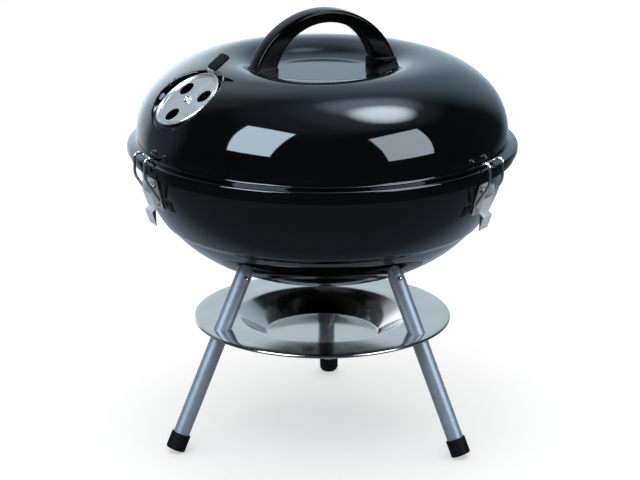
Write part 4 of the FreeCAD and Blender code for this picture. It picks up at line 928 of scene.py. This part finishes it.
# %% The lever's shape
PIN = (171.7791, 258.4631)
EYE = (167.8028, 245.4574)
BOSS = 3.0
LEVER_HALF = 10.0
TAIL_HALF = 7.5
FACE_LONG = 14.4
STEP_OUT = 5.4
TAIL_LONG = 13.4
DOWN = Vector(heading(250))
BACK = Vector(heading(160)) * SHEET
face_top = Vector((PIN[0] + 2.8, PIN[1] - 7.5))
face_low = face_top + DOWN * FACE_LONG
tail_out = face_low + Vector(heading(320)) * STEP_OUT
tail_tip = tail_out + DOWN * TAIL_LONG


def lever():
    """Cheeks, front plate and tail of a lever."""
    blanks = []
    for low in (-LEVER_HALF, LEVER_HALF - SHEET):
        line = Outline(PIN[0] + BOSS, PIN[1]).to(*face_top).to(*face_low).to(EYE[0], EYE[1] - BOSS)
        line.around(*EYE, -90, 8).to(PIN[0] - BOSS, PIN[1]).around(*PIN, -179, 18)
        cheek = line.plate(low, low + SHEET)
        blanks.append(soften(cheek, sharp_edges(cheek, 50), 0.22, 2))
    line = Outline(*face_top).to(*face_low).to(*(face_low + BACK)).to(*(face_top + BACK))
    front = line.plate(-LEVER_HALF, LEVER_HALF)
    blanks.append(soften(front, sharp_edges(front, 50), 0.3, 2))
    line = Outline(*face_low).to(*tail_out).to(*tail_tip).to(*(tail_tip + BACK)).to(*(tail_out + BACK))
    tail = line.to(*(face_low + BACK)).plate(-TAIL_HALF, TAIL_HALF)
    blanks.append(soften(tail, sharp_edges(tail, 25), 0.3))
    return joined(*blanks)


print("lever tail ends at", tuple(round(value, 2) for value in tail_tip))

# %% [markdown]
# A lever turns on a plain pin that runs through the bracket's ears. The pin is a short rod with broken
# ends, spun upright and then laid across. Each side gets its lever and its pin.

# %% Levers on their pins
PIN_RADIUS = 1.5
PIN_HALF = 10.3
PIN_BREAK = 0.3


def pin_rod():
    """A rod with broken ends, its middle on the origin."""
    flat, shoulder = PIN_RADIUS - PIN_BREAK, PIN_HALF - PIN_BREAK
    line = Outline(0, -PIN_HALF).to(flat, -PIN_HALF).to(PIN_RADIUS, -shoulder).to(PIN_RADIUS, shoulder, 4)
    return line.to(flat, PIN_HALF).to(0, PIN_HALF).lathe(28)


pin_place = spot(PIN[0], 0, PIN[1]) @ turned(90, "X")
for side, azimuth in SIDES.items():
    plate = placed(lever(), turned(azimuth, "Z"))
    piece("latch_lever_plate_" + side, plate, "lever_" + side, "latch_plate", zinc, "latch_lever_" + side)
    pin = placed(pin_rod(), turned(azimuth, "Z") @ pin_place)
    piece("latch_pin_rod_" + side, pin, "grill", "bright_fastener", bright, "latch_pin_" + side)

# %% [markdown]
# A bail is one piece of wire. It could be a curve with a bevel, but bending it as a wire worker would is
# just as short: a ring of points is extruded for each straight run and spun for each bend, and a run or a
# bend only needs to know the way the wire points now.

# %% Bending wire


class Wire:
    """A wire drawn from one cut end, by runs and bends."""

    def __init__(self, radius, start, way):
        self.bm = bmesh.new()
        self.at = Vector(start) * MM
        self.way = Vector(way).normalized()
        place = Matrix.Translation(self.at) @ self.way.to_track_quat("Z", "Y").to_matrix().to_4x4()
        bmesh.ops.create_circle(self.bm, cap_ends=False, segments=18, radius=radius * MM, matrix=place)
        self.ring = self.bm.edges[:]
        bmesh.ops.contextual_create(self.bm, geom=self.ring)

    def run(self, length):
        """Straight on for a length."""
        made = bmesh.ops.extrude_edge_only(self.bm, edges=self.ring)["geom"]
        self.ring = only(made, BMEdge)
        bmesh.ops.translate(self.bm, verts=only(made, BMVert), vec=self.way * length * MM)
        self.at = self.at + self.way * length * MM
        return self

    def bend(self, radius, way, steps):
        """Turn to a new way with the wire's middle on a radius."""
        way = Vector(way).normalized()
        axis = self.way.cross(way).normalized()
        angle = self.way.angle(way)
        middle = self.at + axis.cross(self.way) * radius * MM
        verts = list({vert for edge in self.ring for vert in edge.verts})
        made = bmesh.ops.spin(
            self.bm, geom=verts + self.ring, cent=middle, axis=axis, angle=angle, steps=steps,
        )
        self.ring = only(made["geom_last"], BMEdge)
        self.at = middle + Matrix.Rotation(angle, 3, axis) @ (self.at - middle)
        self.way = way
        return self

    def cut_off(self):
        """Close the wire at its second end."""
        bmesh.ops.contextual_create(self.bm, geom=self.ring)
        bmesh.ops.remove_doubles(self.bm, verts=self.bm.verts, dist=MERGE / 10)
        bmesh.ops.recalc_face_normals(self.bm, faces=self.bm.faces)
        return self.bm


print("wire ready")

# %% [markdown]
# From one of the lever's eyes the wire slants out, stands up past the flange, curls over it, crosses to the
# other side and comes back the same way. The second half mirrors the first, so both use the same lengths.

# %% Latch bails
WIRE = 1.25
EYE_OUT = 9.0
EYE_BEND = 1.6
BAIL_OUT = 181.0
BAIL_RISE = 20.5
BAIL_BEND = 14.0
HOOK = 4.15
HOOK_Z = 280.99
CROSS_BEND = 2.5
CROSS_LONG = 18.2
slanted = Vector((BAIL_OUT - EYE[0], 0, BAIL_RISE))
over = Vector((0, 0, 1))
inwards = Vector((-1, 0, 0))
outwards = Vector((0, 1, 0))
along, across = heading(220)
back_down = Vector((along, 0, across))
bend_reach = BAIL_BEND * math.tan(slanted.angle(over) / 2)
slant = slanted.length - EYE_BEND - bend_reach
upright = HOOK_Z - EYE[1] - BAIL_RISE - bend_reach


def bail():
    """The wire from one eye over the flange to the other eye."""
    wire = Wire(WIRE, (EYE[0], EYE_OUT, EYE[1]), outwards).run(1.0).bend(EYE_BEND, slanted, 7).run(slant)
    wire.bend(BAIL_BEND, over, 8).run(upright).bend(HOOK, inwards, 9).bend(HOOK, back_down, 5)
    wire.bend(CROSS_BEND, -outwards, 8).run(CROSS_LONG).bend(CROSS_BEND, -back_down, 8)
    wire.bend(HOOK, -inwards, 5).bend(HOOK, -over, 9).run(upright).bend(BAIL_BEND, -slanted, 8).run(slant)
    return wire.bend(EYE_BEND, outwards, 7).run(1.0).cut_off()


for side, azimuth in SIDES.items():
    hook = placed(bail(), turned(azimuth, "Z"))
    piece("latch_bail_wire_" + side, hook, "bail_" + side, "latch_wire", wire_plate, "latch_bail_" + side)

# %% [markdown]
# What is left of the frame shows as it is: the grates, the screws and washers inside the lid, and the
# bolts and inserts that hold the legs. Their solids are true to size, so they only take their finishes.

# %% Finishes for the pieces that stay
kept = {
    chrome: ["cooking_grate", "cooking_grate_rim", "charcoal_grate", "charcoal_grate_rim"],
    bright: ["handle_screws", "handle_washers", "lid_damper_washer", "leg_bolts"],
    turned_steel: ["leg_insert_" + side for side in SIDES],
}
for finish, nodes in kept.items():
    for node in nodes:
        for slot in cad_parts[node].material_slots:
            slot.material = finish.material
    print(finish.material.name, nodes)

# %% [markdown]
# The grill stands on a pale floor, large enough to fill the picture. Its diffuse surface takes the soft
# shadow under the grill, and a little light that only the camera sees lifts the rest of it to white. Gloss
# doesn't see it: what shines up from below is part of the world.

# %% Floor
FLOOR_HALF = (1.6, 2.0, 1)
FLOOR_MIDDLE = (0, 1.2, -0.0002)
FLOOR_COLOR = (0.86, 0.86, 0.86, 1)
WHITE = (1, 1, 1, 1)
FLOOR_LIFT = 0.45
floor_mesh = bmesh.new()
bmesh.ops.create_grid(floor_mesh, x_segments=1, y_segments=1, size=1.0)
bmesh.ops.scale(floor_mesh, verts=floor_mesh.verts, vec=FLOOR_HALF)
bmesh.ops.translate(floor_mesh, verts=floor_mesh.verts, vec=FLOOR_MIDDLE)
floor = as_object("pale_floor", floor_mesh)
paper = bpy.data.materials.new("pale_paper")
paper.use_nodes = True
tree = paper.node_tree
tree.nodes.remove(tree.nodes["Principled BSDF"])
seen = tree.nodes.new("ShaderNodeLightPath").outputs["Is Camera Ray"]
level = linked(tree, "ShaderNodeMath", seen, FLOOR_LIFT, operation="MULTIPLY")
lift = linked(tree, "ShaderNodeEmission", Color=WHITE, Strength=level.outputs["Value"])
diffuse = linked(tree, "ShaderNodeBsdfDiffuse", Color=FLOOR_COLOR)
both = linked(tree, "ShaderNodeAddShader", diffuse.outputs["BSDF"], lift.outputs["Emission"])
tree.links.new(both.outputs["Shader"], tree.nodes["Material Output"].inputs["Surface"])
floor.data.materials.append(paper)
floor.visible_glossy = False
print("floor", tuple(round(value, 2) for value in floor.dimensions))

# %% [markdown]
# Gloss enamel shows the studio more than its own colour, so the studio is part of the likeness. Two soft
# boxes stand in front, left and right. They are set for gloss only; two broad fills and the plain world
# give the even light under which colours show as written.

# %% Lamps
LAMPS_AIM = Vector((0, 0, 0.31))


def lamp(name, turn, rise, reach, wide, tall, radiance, gloss):
    """A soft box aimed at the lid, for gloss alone or for all but gloss; lengths in metres."""
    data = bpy.data.lights.new(name, "AREA")
    data.shape = "RECTANGLE"
    data.size = wide
    data.size_y = tall
    strength = max(radiance)
    data.color = [value / strength for value in radiance]
    data.energy = strength * math.pi * wide * tall
    thing = bpy.data.objects.new(name, data)
    bpy.context.collection.objects.link(thing)
    way = toward(turn, rise)
    thing.location = LAMPS_AIM + way * reach
    thing.rotation_euler = way.to_track_quat("Z", "Y").to_euler()
    thing.visible_camera = False
    thing.visible_diffuse = not gloss
    thing.visible_glossy = gloss


lamp("left_soft_box", -132, 36, 1.6, 0.80, 1.16, (9.5, 11.7, 13.9), True)
lamp("right_soft_box", -34, 26, 1.6, 0.89, 1.07, (6.1, 7.2, 8.2), True)
lamp("fill_front", -100, 50, 2.4, 2.2, 2.2, (0.85, 0.85, 0.85), False)
lamp("fill_top", 90, 80, 2.4, 2.4, 2.4, (0.9, 0.9, 0.9), False)

# %% [markdown]
# The room that gloss sees is a sum of soft patches: a dark studio, a pale blue backdrop that fades upwards
# and to the sides, a brighter panel low behind on the left, a light hung high on the right with its soft
# edge, and weak light from the floor and the ceiling. A picture of a studio could do the same, but patches
# that ease in between two angles need no file and are easy to move.

# %% The room in the gloss
DARK_ROOM = (0.023, 0.034, 0.038)
world = bpy.data.worlds.new("studio")
bpy.context.scene.world = world
world.use_nodes = True
sky = world.node_tree
sky.nodes.clear()
way = sky.nodes.new("ShaderNodeTexCoord").outputs["Generated"]
height = linked(sky, "ShaderNodeSeparateXYZ", way).outputs["Z"]


def eased(value, none, full):
    """A share that eases from 0 at one value to 1 at another."""
    node = linked(sky, "ShaderNodeMapRange", Value=value, From_Min=none, From_Max=full)
    node.interpolation_type = "SMOOTHSTEP"
    return node.outputs["Result"]


def patch(turn, rise, none, full):
    """A round patch of the sky, by its middle and by the angles where it ends and where it is full."""
    facing = linked(sky, "ShaderNodeVectorMath", way, toward(turn, rise), operation="DOT_PRODUCT")
    return eased(facing.outputs["Value"], math.cos(math.radians(none)), math.cos(math.radians(full)))


patches = {
    "backdrop": ((0.42, 0.58, 0.74), patch(90, 24, 46, 20)),
    "backdrop foot": ((0.26, 0.30, 0.27), patch(100, 6, 28, 5)),
    "bright panel": ((0.98, 1.07, 1.18), patch(118, 2, 27, 2)),
    "left wall": ((0.16, 0.20, 0.28), patch(150, 7, 32, 15)),
    "left corner": ((0.24, 0.26, 0.27), patch(128, 40, 26, 6)),
    "ceiling": ((0.15, 0.19, 0.26), patch(0, 90, 41, 8)),
    "hung light": ((10.0, 11.2, 12.2), patch(17, 68, 15, 2)),
    "hung light tail": ((1.6, 2.0, 2.5), patch(46, 69, 19, 3)),
    "hung light halo": ((0.22, 0.27, 0.34), patch(25, 71, 33, 10)),
    "floor": ((0.12, 0.15, 0.19), eased(height, -0.2, -0.5)),
    "floor behind": ((0.30, 0.37, 0.46), patch(95, -44, 56, 14)),
}
room = DARK_ROOM
for color, share in patches.values():
    glow = linked(sky, "ShaderNodeVectorMath", color, share, operation="MULTIPLY")
    total = linked(sky, "ShaderNodeVectorMath", room, glow.outputs["Vector"], operation="ADD")
    room = total.outputs["Vector"]
print("room:", list(patches))

# %% [markdown]
# The world plays three parts, told apart by the kind of ray. The camera, and what it sees through, gets
# white. Gloss gets the room. All else gets plain grey light.

# %% World
GREY = (0.5, 0.5, 0.5, 1)
plain = linked(sky, "ShaderNodeBackground", Color=GREY, Strength=1.0).outputs[0]
studio = linked(sky, "ShaderNodeBackground", Color=room, Strength=1.0).outputs[0]
white = linked(sky, "ShaderNodeBackground", Color=WHITE, Strength=1.0).outputs[0]
ray = sky.nodes.new("ShaderNodeLightPath").outputs
unseen = linked(sky, "ShaderNodeMixShader", ray["Is Glossy Ray"], plain, studio).outputs[0]
seen = linked(sky, "ShaderNodeMath", ray["Is Camera Ray"], ray["Is Transmission Ray"], operation="MAXIMUM")
final = linked(sky, "ShaderNodeMixShader", seen.outputs["Value"], unseen, white).outputs[0]
linked(sky, "ShaderNodeOutputWorld", Surface=final)
print("world:", len(sky.nodes), "nodes")

# %% [markdown]
# The camera stands a little over two metres away, slightly to the right, and looks down at 17 degrees with
# a long lens, so the ellipses of the lid and the ash catcher open as they should. Pan and roll are tiny
# turns that set the grill in the frame, given as slopes.

# %% Camera
STAND = (0.1011, -2.1520, 0.8509)
HEADING = 92.69
PITCH = -17.237
PAN = 0.000869
ROLL_SLOPE = 0.00228
SENSOR = 36.0
LENS = 137.18
forward = toward(HEADING, PITCH)
right = toward(HEADING - 90, 0)
up = right.cross(forward)
right, forward = (right + forward * PAN).normalized(), (forward - right * PAN).normalized()
right, up = (right + up * ROLL_SLOPE).normalized(), (up - right * ROLL_SLOPE).normalized()
lens = bpy.data.cameras.new("camera")
lens.sensor_width = SENSOR
lens.lens = LENS
camera = bpy.data.objects.new("camera", lens)
bpy.context.collection.objects.link(camera)
camera.matrix_world = Matrix.Translation(STAND) @ Matrix((right, up, -forward)).transposed().to_4x4()
bpy.context.scene.camera = camera
bpy.context.scene.view_settings.view_transform = "Standard"
print("camera", tuple(round(value, 3) for value in camera.location))
